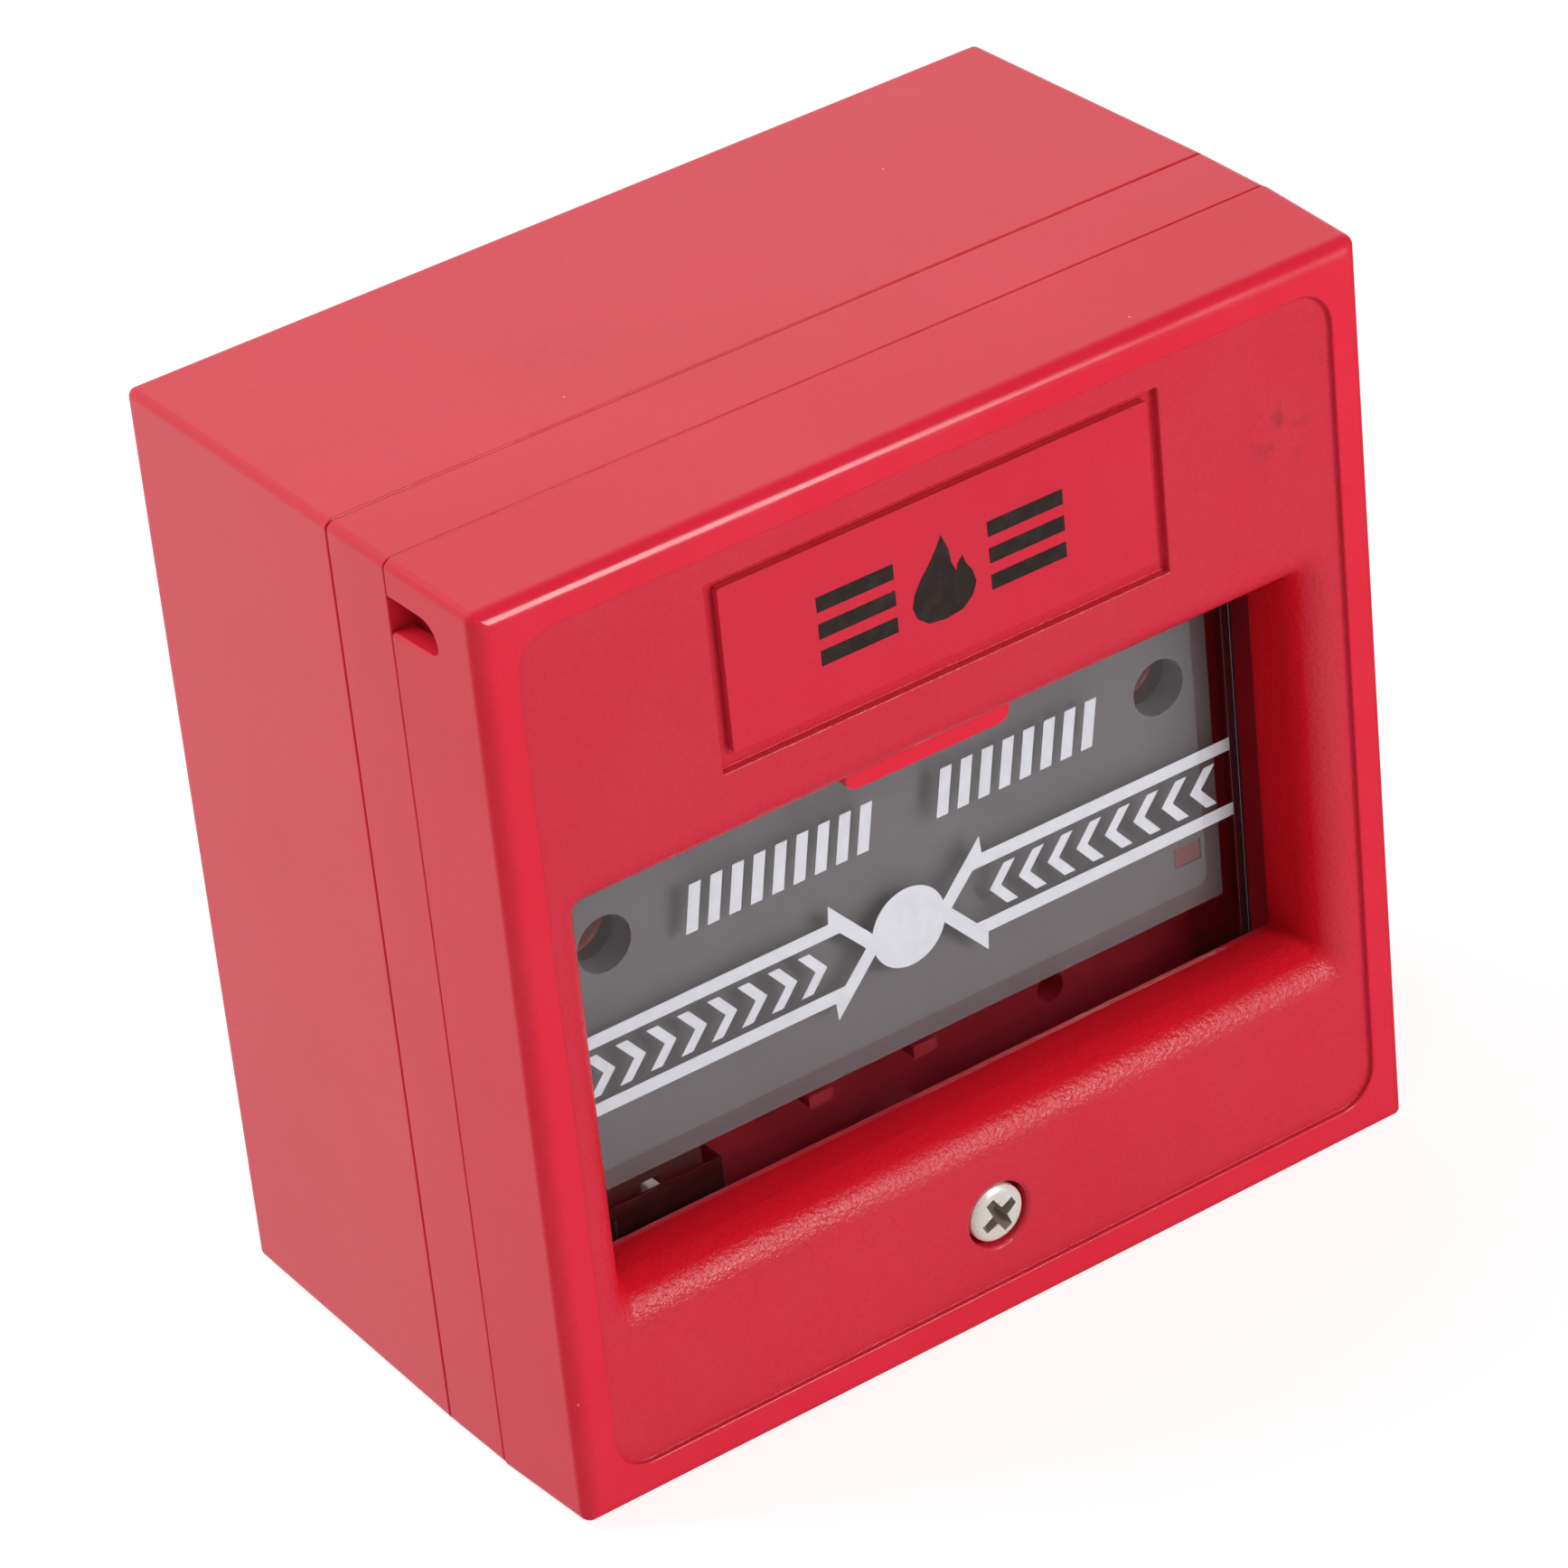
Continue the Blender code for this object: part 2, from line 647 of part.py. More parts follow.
def board_mounts(frame, root):
    for x, z in BOARD_SCREWS.values():
        add(frame, turned_y(x, z, [(STANDOFF_R, root), (STANDOFF_R, BOARD_FRONT - GAP)], 14))
        cut(frame, turned_y(x, z, [(1.3, root + 1.0), (1.3, BOARD_FRONT + 1)], 12))


# ---------------------------------------------------------------- microswitch

def microswitch():
    switch_body()
    switch_button()
    switch_lever()
    for side, x in PIN_PLACES.items():
        collar = SWITCH_TOP + GAP
        profile = [(PIN_R * 0.8, SHELF_BOTTOM + 0.2), (PIN_R, SHELF_BOTTOM + 0.5), (PIN_R, collar)]
        profile += [(PIN_R + 0.6, collar), (PIN_R + 0.6, collar + 0.6)]
        put(f"switch_pin_{side}", turned_z(x, PIN_DEPTH, profile, 12), spring_steel())
    for name, x in TERMINALS.items():
        blade = rectangle(x - 0.25, x + 0.25, SWITCH_MID_Z - 0.8, SWITCH_MID_Z + 0.8)
        put(f"switch_terminal_{name}", prism_y(blade, SWITCH_BACK + GAP, BOARD_BACK + 1.2), brass())


def switch_body():
    edge = 0.4
    x0, x1, z0, z1 = SWITCH_LEFT, SWITCH_RIGHT, SWITCH_BOTTOM, SWITCH_TOP
    full = rounded_rectangle(x0, x1, z0, z1, 0.4, 2)
    inset = rounded_rectangle(x0 + edge, x1 - edge, z0 + edge, z1 - edge, 0.2, 2)
    rings = [(inset, SWITCH_FRONT), (full, SWITCH_FRONT + edge)]
    rings += [(full, SWITCH_BACK - edge), (inset, SWITCH_BACK)]
    mesh = loft([[(x, at(d), z) for x, z in ring] for ring, d in rings])
    body = put("switch_body", mesh, black_plastic())
    slot = rectangle(BUTTON_X - 0.95, BUTTON_X + 0.95, SWITCH_MID_Z - 1.3, SWITCH_MID_Z + 1.3)
    cut(body, prism_y(slot, SWITCH_FRONT - 1, SWITCH_FRONT + 2.4))
    heel = rectangle(PIVOT_X - 0.8, SWITCH_RIGHT + 1, SWITCH_MID_Z - 2.1, SWITCH_MID_Z + 2.1)
    cut(body, prism_y(heel, SWITCH_FRONT - 1, SWITCH_FRONT + 1.4))
    hole = PIN_R + GAP
    for x in PIN_PLACES.values():
        cut(body, turned_z(x, PIN_DEPTH, [(hole, z0 - 1), (hole, z1 + 1)], 12))


def switch_button():
    x, z = BUTTON_X, SWITCH_MID_Z
    stem = rounded_rectangle(x - 0.6, x + 0.6, z - 1.0, z + 1.0, 0.3, 2)
    tip = rounded_rectangle(x - 0.35, x + 0.35, z - 0.8, z + 0.8, 0.2, 2)
    rings = [(tip, BUTTON_TIP), (stem, BUTTON_TIP + 0.35), (stem, SWITCH_FRONT + 1.4)]
    mesh = loft([[(px, at(d), pz) for px, pz in ring] for ring, d in rings])
    put("switch_button", mesh, washer_white(), (x, at(SWITCH_FRONT), z))


def switch_lever():
    """A spring strip: a heel in the switch body, a flat arm over the button and a bent end."""
    half = LEVER_THICK / 2
    arm_back = LEVER_FRONT + LEVER_THICK
    heel = SWITCH_FRONT + 0.7
    bend = LEVER_TIP + 0.25
    outline = [(PIVOT_X + half, heel), (PIVOT_X + half, LEVER_FRONT)]
    outline += [(LEVER_END + 0.5, LEVER_FRONT), (LEVER_END + 0.5, bend), (LEVER_END + 0.35, LEVER_TIP)]
    outline += [(LEVER_END + 0.15, LEVER_TIP), (LEVER_END, bend), (LEVER_END + 0.1, arm_back)]
    outline += [(PIVOT_X - half, arm_back), (PIVOT_X - half, heel)]
    strip = prism_z(outline, SWITCH_MID_Z - LEVER_HALF, SWITCH_MID_Z + LEVER_HALF)
    put("switch_lever", strip, spring_steel(), (PIVOT_X, at(PIVOT_DEPTH), SWITCH_MID_Z))


# ---------------------------------------------------------------- circuit board

def circuit_board():
    outline = rounded_rectangle(BOARD_LEFT, BOARD_RIGHT, BOARD_BOTTOM, BOARD_TOP, 1.0, 3)
    board = put("circuit_board", prism_y(outline, BOARD_FRONT, BOARD_BACK), board_green())
    front = BOARD_FRONT - 1
    back = BOARD_BACK + 1
    for x, z in BOARD_SCREWS.values():
        cut(board, turned_y(x, z, [(1.4, front), (1.4, back)], 12))
    for x in TERMINALS.values():
        hole = rectangle(x - 0.6, x + 0.6, SWITCH_MID_Z - 1.2, SWITCH_MID_Z + 1.2)
        cut(board, prism_y(hole, front, back))
    for lead in (-1.27, 1.27):
        cut(board, turned_y(LAMP_PLACE[0] + lead, LAMP_PLACE[1], [(0.6, front), (0.6, back)], 8))


def board_screws():
    for side, (x, z) in BOARD_SCREWS.items():
        face = BOARD_BACK + GAP
        profile = [(0.6, CHASSIS_BACK + 0.9), (1.0, CHASSIS_BACK + 1.6), (1.0, face), (2.2, face)]
        profile += [(2.2, face + 0.9), (1.4, face + 1.4)]
        put(f"board_screw_{side}", turned_y(x, z, profile, 14), nickel())


def status_lamp():
    x, z = LAMP_PLACE
    dome = [(0.5, 14.5), (1.2, 14.9), (1.5, 15.6), (1.5, 19.6), (1.8, 19.6), (1.8, 20.4)]
    lamp = put("status_lamp", turned_y(x, z, dome, 16), lamp_red())
    for lead in (-1.27, 1.27):
        add(lamp, prism_y(circle(x + lead, z, 0.25, 6), 20.0, BOARD_BACK + 1.0))


def terminal_block():
    chamfer = 2.4
    outline = [(BLOCK_FRONT, BLOCK_BOTTOM), (BLOCK_BACK - chamfer, BLOCK_BOTTOM)]
    outline += [(BLOCK_BACK, BLOCK_BOTTOM + chamfer), (BLOCK_BACK, BLOCK_TOP), (BLOCK_FRONT, BLOCK_TOP)]
    block = put("terminal_block", prism_x(outline, -BLOCK_HALF, BLOCK_HALF), block_green())
    middle = (BLOCK_TOP + BLOCK_BOTTOM) / 2 + 1.0
    for i, x in enumerate(WAYS, 1):
        cut(block, turned_y(x, middle, [(1.9, BLOCK_BACK - 3.4), (1.9, BLOCK_BACK + 1)], 12))
        cut(block, prism_y(rectangle(x - 1.6, x + 1.6, BLOCK_BOTTOM - 1, BLOCK_BOTTOM + 2.2), 28.0, 31.2))
        head = [(0.9, BLOCK_BACK - 3.1), (1.5, BLOCK_BACK - 2.8), (1.5, BLOCK_BACK - 1.0)]
        screw = put(f"terminal_screw_{i}", turned_y(x, middle, head, 12), nickel())
        blade = rectangle(x - 2.0, x + 2.0, middle - 0.25, middle + 0.25)
        cut(screw, prism_y(blade, BLOCK_BACK - 1.6, BLOCK_BACK))


def resistors():
    for name, (x, z) in RESISTORS.items():
        depth = BOARD_BACK + 1.6
        half_body = [(0.95, 1.5), (1.15, 1.9), (1.15, 2.8), (0.8, 3.1)]
        body = [(r, -along) for r, along in reversed(half_body)] + half_body
        rings = [[(x + along, at(depth) + a, z + b) for a, b in circle(0, 0, r, 10)] for r, along in body]
        made = put(f"{name}_resistor", loft(rings), resistor_beige())
        half = 5.0
        wire = [(x - half, at(BOARD_BACK + GAP), z), (x - half, at(depth - 0.5), z)]
        wire += [(x - half + 0.5, at(depth), z), (x + half - 0.5, at(depth), z)]
        wire += [(x + half, at(depth - 0.5), z), (x + half, at(BOARD_BACK + GAP), z)]
        add(made, swept(wire, 0.3, 6))


# ---------------------------------------------------------------- back box

def back_box():
    front = RING_END + GAP / 2
    rings = [(BOX_INNER_BACK, 1.2, DEPTH - BOX_FLOOR), (BOX_INNER_FRONT, 1.2, front)]
    rings += [(BOX_FRONT_HALF, CORNER, front), (BOX_BACK_HALF, CORNER, DEPTH - BOX_EDGE)]
    for i in range(1, 4):
        angle = math.radians(90 * i / 3)
        inset = BOX_EDGE * (1 - math.cos(angle))
        depth = DEPTH - BOX_EDGE * (1 - math.sin(angle))
        rings.append((BOX_BACK_HALF - inset, max(CORNER - inset, 0.15), depth))
    mesh = loft([[(x, at(d), z) for x, z in rounded_square(h, r)] for h, r, d in rings])
    box = put("back_box", mesh, red_casing())
    floor = DEPTH - BOX_FLOOR + 0.8
    for side in (-1, 1):
        x = side * FIXING_X
        wall = side * (BOX_INNER_BACK + 1)
        add(box, turned_y(x, FIXING_Z, [(FIXING_BOSS_R, FIXING_WELL_END + GAP), (FIXING_BOSS_R, floor)]))
        web = rectangle(min(x, wall), max(x, wall), FIXING_Z - 0.8, FIXING_Z + 0.8)
        add(box, prism_y(web, 27.0, floor))
        cut(box, turned_y(x, FIXING_Z, [(INSERT_R + GAP, FIXING_WELL_END), (INSERT_R + GAP, 34.0)]))
        slot = rounded_rectangle(-5.0, 5.0, side * BOX_SLOT_Z - 2.2, side * BOX_SLOT_Z + 2.2, 2.19, 5)
        cut(box, prism_y(slot, floor - 3, DEPTH + 1))
    entry = rounded_rectangle(-CABLE_HALF_WIDTH, CABLE_HALF_WIDTH, CABLE_BOTTOM, CABLE_TOP, 3.0)
    cut(box, prism_y(entry, floor - 3, DEPTH + 1))
    for side in (-1, 1):
        outer = side * (HALF - KNOCKOUT_WEB - 0.4)
        disc = turned_z(0, KNOCKOUT_DEPTH, [(KNOCKOUT_R, side * 38.0), (KNOCKOUT_R, outer)], 28)
        cut(box, disc)


def clear_scene():
    for found in list(bpy.data.objects):
        bpy.data.objects.remove(found, do_unlink=True)


def main():
    clear_scene()
    back_box()
    base_frame()
    front_cover()
    label_insert()
    cover_fixing()
    frame_fixings()
    pane()
    pane_springs()
    backing_plate()
    microswitch()
    circuit_board()
    board_screws()
    status_lamp()
    terminal_block()
    resistors()


main()
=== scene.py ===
"""Looks of the manual call point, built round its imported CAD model.

Lengths are in millimetres until a mesh is made. A depth counts back from the front face,
so Y = depth - DEPTH. A box is (x0, x1, z0, z1). A profile is a list of (radius, depth) pairs.
"""

import math

import bmesh
import bpy
from mathutils import Matrix, Vector


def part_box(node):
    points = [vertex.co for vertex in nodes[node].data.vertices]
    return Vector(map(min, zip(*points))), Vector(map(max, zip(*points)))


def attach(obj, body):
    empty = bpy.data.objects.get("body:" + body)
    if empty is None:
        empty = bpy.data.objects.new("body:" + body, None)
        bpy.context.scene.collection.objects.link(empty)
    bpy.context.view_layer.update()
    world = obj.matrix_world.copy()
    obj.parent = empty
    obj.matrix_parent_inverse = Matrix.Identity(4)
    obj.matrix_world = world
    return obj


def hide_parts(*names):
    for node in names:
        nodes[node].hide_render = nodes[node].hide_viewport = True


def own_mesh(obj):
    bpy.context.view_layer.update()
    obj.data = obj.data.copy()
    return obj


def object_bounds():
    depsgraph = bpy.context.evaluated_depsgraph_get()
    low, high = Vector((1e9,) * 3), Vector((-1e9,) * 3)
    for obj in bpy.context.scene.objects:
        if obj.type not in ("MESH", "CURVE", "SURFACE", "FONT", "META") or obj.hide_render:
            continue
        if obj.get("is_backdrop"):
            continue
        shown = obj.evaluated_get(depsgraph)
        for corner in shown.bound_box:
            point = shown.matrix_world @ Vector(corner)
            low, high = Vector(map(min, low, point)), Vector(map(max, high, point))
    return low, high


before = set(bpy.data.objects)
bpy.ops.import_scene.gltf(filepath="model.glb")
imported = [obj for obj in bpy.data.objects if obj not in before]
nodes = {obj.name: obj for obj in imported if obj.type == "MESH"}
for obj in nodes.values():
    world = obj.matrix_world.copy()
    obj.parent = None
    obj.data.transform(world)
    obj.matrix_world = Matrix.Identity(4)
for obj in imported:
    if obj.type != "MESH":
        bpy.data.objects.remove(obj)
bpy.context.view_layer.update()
scene = bpy.context.scene

MM = 0.001
GAP = 0.3
DEPTH = -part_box("front_cover")[0].y / MM
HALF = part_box("back_box")[1].z / MM + 0.05
CORNER = 0.8
SEAM_EDGE = 0.14
SEAM_GAP = 0.16

# The cover ends at COVER_END and the middle ring at RING_END; a seam follows each.
COVER_END = 12.1
RING_END = 20.2

# Front cover, label and the marks on the label
COVER_FRONT_HALF = 42.7
FRONT_FILLET = 1.6
COVER_INNER = 41.0
PANEL = (-39.38, 39.38, -39.1, 39.58)
PANEL_STEP = 0.5
PANEL_CORNER = 3.5
PANEL_FOOT = 0.12
PANEL_MOUTH = 0.16
WINDOW_TOP = 13.0
WINDOW_HALF = 35.5
LIP_RADIUS = 3.7
ROLL_RADIUS = 4.5
ROLL_TOP = -23.0
ROLL_FALL = 0.6
COVER_SKIN = 8.5
COVER_FACE_BACK = 3.2
WINDOW_WALL = 2.9
SIDE_WALL = 2.2
WEDGE_FRONT = 5.2
TAB_HALF = 8.2
TAB_BOTTOM = 10.2
TAB_FRONT = 4.6
TAB_THICK = 1.6
TAB_EDGE = 0.22
RECESS = (-22.0, 22.0, 20.0, 36.9)
RECESS_FLOOR = 1.25
RECESS_CORNER = 0.2
RECESS_FOOT = 0.12
RECESS_MOUTH = 0.14
LABEL = (-20.9, 20.9, 21.4, 36.2)
LABEL_FRONT = 0.45
LABEL_CORNER = 0.25
LABEL_EDGE = 0.12
FLAME_BOTTOM = 24.9
FLAME_HEIGHT = 7.5
BAR_START = 4.6
BAR_END = 12.0
BAR_RISES = (0.7, 3.1, 5.5)
BAR_THICK = 1.35
SLOT_BOTTOM = 36.6
SLOT_TOP = 39.75
SLOT_FRONT = 5.7
SLOT_CURVE = 1.9

# Cover screw and its well
SCREW_Z = -32.6
SCREW_FRONT = 0.4
SCREW_HEAD_R = 2.65
SCREW_HEAD = 2.0
SCREW_WELL_R = 3.05
SCREW_WELL = 2.7
SCREW_BORE_R = 1.9
SCREW_THREAD_R = 1.5
SCREW_CORE_R = 1.28
SCREW_PITCH = 0.5
SCREW_THREAD_END = 16.2
SCREW_TIP = 17.0
SCREW_TURNED = 28
# The cross's outline at four depths under the head's top: arm length, half the arm's width, depth
CROSS_SECTIONS = [(1.85, 0.44, -0.3), (1.78, 0.42, 0.15), (1.3, 0.36, 0.8), (0.62, 0.26, 1.5)]
CROSS_REACH = 1.7
COVER_BOSS_R = 4.6
COVER_BOSS_END = 9.4
WASHER_WELL_R = 3.6

# Pane and its print; a group of hatching is its first x and its number of bars
PANE_BACK = 10.8
PANE_EDGE = 33.7
PRINT_THICK = 0.04
DOT_Z = -8.55
DOT_R = 3.7
MARKS_END = 34.1
CHEVRONS = 8
CHEVRON_START = 8.3
CHEVRON_STEP = 3.0
HATCHING = [(-21.3, 9), (3.7, 8)]
HATCH_STEP = 2.12

# Base frame, and what it carries
RING_HALF = 42.95
FRONT_LIP_HALF = COVER_INNER - GAP
FRONT_LIP_START = 9.6
RING_INNER = 39.5
CHASSIS_FRONT = 17.3
CHASSIS_BACK = 19.3
REAR_LIP_HALF = 40.4
REAR_LIP_INNER = 39.0
REAR_LIP_END = 23.5
PLATE_BACK = 13.6
PLATE_TOP = 15.5
PLATE_BOTTOM = -21.0
POST_R = 2.0
POST_PLACES = [(-20.0, -16.0), (20.0, -16.0), (-20.0, 11.0), (20.0, 11.0)]
LUG_FRONT = 12.2
LUG_PLACES = [(-9.3, PLATE_BOTTOM - 0.9), (1.4, PLATE_BOTTOM - 0.9)]
LUG_PLACES += [(-14.0, PLATE_TOP + 0.9), (14.0, PLATE_TOP + 0.9)]
SPRING_PLACES = [(-24.0, 18.6), (24.0, 18.6), (0.0, -9.0)]
SPRING_PEG_R = 1.2
SPRING_PEG_FRONT = 13.2
LAMP_PLACE = (29.8, -15.5)
LAMP_WINDOW = (1.35, 0.95)
LAMP_WINDOW_DEPTHS = (12.45, 13.9)
LAMP_HOLE_R = 2.3
MOULD_HOLE = (18.0, -26.0)
MOULD_HOLE_R = 1.4
FIXING_X = 28.0
FIXING_Z = 1.7
FIXING_BOSS_R = 4.2
FIXING_SEAT = 20.6
FIXING_WELL_END = 22.5
COLLAR_BORE_R = 2.58
COLLAR_R = 3.5
COLLAR_FRONT = 13.5
COLLAR_END = 15.2
INSERT_R = 2.3
INSERT_BOSS_FRONT = 12.5
SWITCH = (-31.4, -18.6, -28.1, -22.3)
SWITCH_FRONT = 14.9
SHELF_TOP = -28.4
SHELF_BOTTOM = -30.6
PIN_XS = (-29.2, -20.8)
PIN_DEPTH = 16.6
PIN_HOLE_R = 1.1
SPRINGS = ("pane_spring_upper_left", "pane_spring_upper_right", "pane_spring_centre")
SPRING_WIRE_R = 0.28
SPRING_TURNS = 4
SPRING_STEPS = 20
SPRING_SIDES = 8
BOARD_FRONT = 24.0
BOARD_SCREWS = [(-30.5, -12.5), (31.0, -26.5)]
BOARD_POST_R = 3.0
BOARD_BORE_R = 1.3

# Back box
BOX_BACK_HALF = 42.45
BOX_INNER_FRONT = 40.75
BOX_INNER_BACK = 40.3
BOX_FLOOR = 2.6
BOX_EDGE = 0.8
BOX_INSERT_END = 34.0
BOX_SLOT_Z = 30.15
BOX_SLOT_HALF = 5.0
BOX_SLOT_R = 2.2
WEB_FRONT = 27.0
ENTRY = (-13.0, 13.0, 9.0, 23.0)
ENTRY_CORNER = 3.0
KNOCKOUT_R = 10.0
KNOCKOUT_DEPTH = 35.8
KNOCKOUT_START = 38.0
KNOCKOUT_SKIN = 1.4

# Fineness of the meshes, and the angle above which an edge stays sharp
SHARP_ANGLE = 32
CORNER_STEPS = 10
ARC_STEPS = 12
FILLET_STEPS = 10
LIP_STEPS = 20
BOX_EDGE_STEPS = 8
ROUND = 48


def at(depth):
    """Y of a depth."""
    return depth - DEPTH


# ---------------------------------------------------------------- outlines and meshes

def arc(cx, cz, radius, start, end, steps=ARC_STEPS):
    points = []
    for i in range(steps + 1):
        angle = math.radians(start + (end - start) * i / steps)
        points.append((cx + radius * math.cos(angle), cz + radius * math.sin(angle)))
    return points


def rounded(x0, x1, z0, z1, radius, steps=CORNER_STEPS):
    """Outline of a rectangle with round corners, anticlockwise from the lower right."""
    return (
        arc(x1 - radius, z0 + radius, radius, -90, 0, steps)
        + arc(x1 - radius, z1 - radius, radius, 0, 90, steps)
        + arc(x0 + radius, z1 - radius, radius, 90, 180, steps)
        + arc(x0 + radius, z0 + radius, radius, 180, 270, steps)
    )


def grown(box, by, radius, steps=CORNER_STEPS):
    """The outline of a rounded box, grown on every side."""
    x0, x1, z0, z1 = box
    return rounded(x0 - by, x1 + by, z0 - by, z1 + by, max(radius + by, 0.05), steps)


def square(half, radius, steps=CORNER_STEPS):
    return rounded(-half, half, -half, half, radius, steps)


def circle(cx, cz, radius, sides=ROUND):
    return arc(cx, cz, radius, 0, 360 - 360 / sides, sides - 1)


def rectangle(x0, x1, z0, z1):
    return [(x0, z0), (x1, z0), (x1, z1), (x0, z1)]


def inset(outline, by):
    """Moves each side of an anticlockwise outline inwards; a negative distance moves it outwards."""
    moved = []
    count = len(outline)
    for i in range(count):
        before = Vector(outline[i - 1])
        here = Vector(outline[i])
        after = Vector(outline[(i + 1) % count])
        one = (here - before).normalized()
        two = (after - here).normalized()
        left_one = Vector((-one.y, one.x))
        left_two = Vector((-two.y, two.x))
        middle = left_one + left_two
        if middle.length < 1e-6:
            middle = left_one.copy()
        middle.normalize()
        share = max(middle.dot(left_one), 0.35)
        moved.append(tuple(here + middle * (by / share)))
    return moved


def loft(rings, closed=False):
    """A mesh through rings of equal length, capped at both ends unless the last ring joins the first."""
    mesh = bmesh.new()
    rows = [[mesh.verts.new(point) for point in ring] for ring in rings]
    count = len(rows[0])
    pairs = list(zip(rows, rows[1:]))
    if closed:
        pairs.append((rows[-1], rows[0]))
    for lower, upper in pairs:
        for i in range(count):
            j = (i + 1) % count
            mesh.faces.new((lower[i], lower[j], upper[j], upper[i]))
    if not closed:
        mesh.faces.new(rows[0])
        mesh.faces.new(rows[-1])
    bmesh.ops.recalc_face_normals(mesh, faces=mesh.faces)
    return mesh


def stack_y(rings):
    """A loft of (outline, depth) pairs whose outlines are in X and Z."""
    return loft([[(x, at(depth), z) for x, z in outline] for outline, depth in rings])


def prism_y(outline, front, back):
    return stack_y([(outline, front), (outline, back)])


def soft_prism_y(outline, front, back, edge):
    """An extruded outline whose front and back edges are eased."""
    tight = inset(outline, edge)
    near = inset(outline, edge * 0.3)
    rings = [(tight, front), (near, front + edge * 0.3), (outline, front + edge)]
    rings += [(outline, back - edge), (near, back - edge * 0.3), (tight, back)]
    return stack_y(rings)


def prism_z(outline, z0, z1):
    return loft([[(x, at(depth), z) for x, depth in outline] for z in (z0, z1)])


def turned_y(cx, cz, profile, sides=ROUND):
    return stack_y([(circle(cx, cz, radius, sides), depth) for radius, depth in profile])


def turned_z(cx, depth, profile, sides=ROUND):
    return loft([[(x, at(d), z) for x, d in circle(cx, depth, radius, sides)] for radius, z in profile])


def ease(edge, start, turn, steps=3):
    """Radius loss and depth along a rounded edge; turn is +1 where depth grows along it, else -1."""
    points = []
    for i in range(steps + 1):
        angle = math.radians(90 * i / steps)
        points.append((edge * (1 - math.sin(angle)), start + turn * edge * (1 - math.cos(angle))))
    return points


def mouth(face, radius, steps=4):
    """Growth and depth round the mouth of a recess, ending just in front of the face it opens through."""
    points = []
    for i in range(steps + 1):
        angle = math.radians(80 * i / steps)
        points.append((radius * (1 - math.cos(angle)), face + radius * (1 - math.sin(angle))))
    return points + [(radius * 1.03, face - 0.02), (radius * 1.03, -2.0)]


def foot(floor, radius, steps=3):
    """Growth and depth round the foot of a recess, from its floor to its wall."""
    points = []
    for i in range(steps + 1):
        angle = math.radians(90 * i / steps)
        points.append((-radius * (1 - math.sin(angle)), floor - radius * (1 - math.cos(angle))))
    return points


def recess(box, corner, floor, face, foot_radius, mouth_radius, steps=CORNER_STEPS):
    """A cutter for a sunk area with an eased floor edge and an eased mouth."""
    profile = foot(floor, foot_radius) + mouth(face, mouth_radius)
    return stack_y([(grown(box, growth, corner, steps), depth) for growth, depth in profile])


def merged(parts):
    """One mesh of several parts that don't touch."""
    whole = bmesh.new()
    for part in parts:
        data = bpy.data.meshes.new("part")
        part.to_mesh(data)
        part.free()
        whole.from_mesh(data)
        bpy.data.meshes.remove(data)
    return whole


# ---------------------------------------------------------------- objects

def raw_object(name, mesh):
    bmesh.ops.transform(mesh, matrix=Matrix.Scale(MM, 4), verts=mesh.verts)
    data = bpy.data.meshes.new(name)
    mesh.to_mesh(data)
    mesh.free()
    made = bpy.data.objects.new(name, data)
    scene.collection.objects.link(made)
    return made


def carve(target, steps):
    """Applies Boolean steps, each (operation, mesh), and keeps only the resulting mesh."""
    helpers = []
    for operation, mesh in steps:
        tool = raw_object("tool", mesh)
        change = target.modifiers.new("carve", "BOOLEAN")
        change.operation = operation
        change.solver = "EXACT"
        change.object = tool
        helpers.append(tool)
    bake_modifiers(target)
    for tool in helpers:
        bpy.data.meshes.remove(tool.data)


def bake_modifiers(target):
    """Replaces an object's mesh with what its modifiers make of it."""
    graph = bpy.context.evaluated_depsgraph_get()
    graph.update()
    result = bpy.data.meshes.new_from_object(target.evaluated_get(graph))
    target.modifiers.clear()
    old = target.data
    target.data = result
    bpy.data.meshes.remove(old)
    result.name = target.name


def finish_piece(made, body, materials, replaces=()):
    """Shading, materials and the body the piece rides on."""
    data = made.data
    data.materials.clear()
    for finish in materials:
        data.materials.append(finish)
    data.shade_smooth()
    data.set_sharp_from_angle(angle=math.radians(SHARP_ANGLE))
    weigh = made.modifiers.new("weigh", "WEIGHTED_NORMAL")
    weigh.keep_sharp = True
    weigh.weight = 100
    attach(made, body)
    if replaces:
        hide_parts(*replaces)
    return made


def piece(name, mesh, body, materials, replaces=(), steps=()):
    made = raw_object(name, mesh)
    if steps:
        carve(made, steps)
    return finish_piece(made, body, materials, replaces)


# ---------------------------------------------------------------- materials

DUST_PINK = (0.85, 0.55, 0.55)
SMUDGE_RED = (0.16, 0.02, 0.03)
# Painted shade and painted light for the inside faces: SHADE_RED is shade near the sides, WALL_RED the lit
# red of the inner walls.
SHADE_RED = (0.035, 0.006, 0.010)
WALL_RED = (0.60, 0.018, 0.030)
SMUDGES = [((33.5, 0.5, 28.5), 4.5, 0.5), ((-14.0, 30.0, 43.0), 6.0, 0.22)]


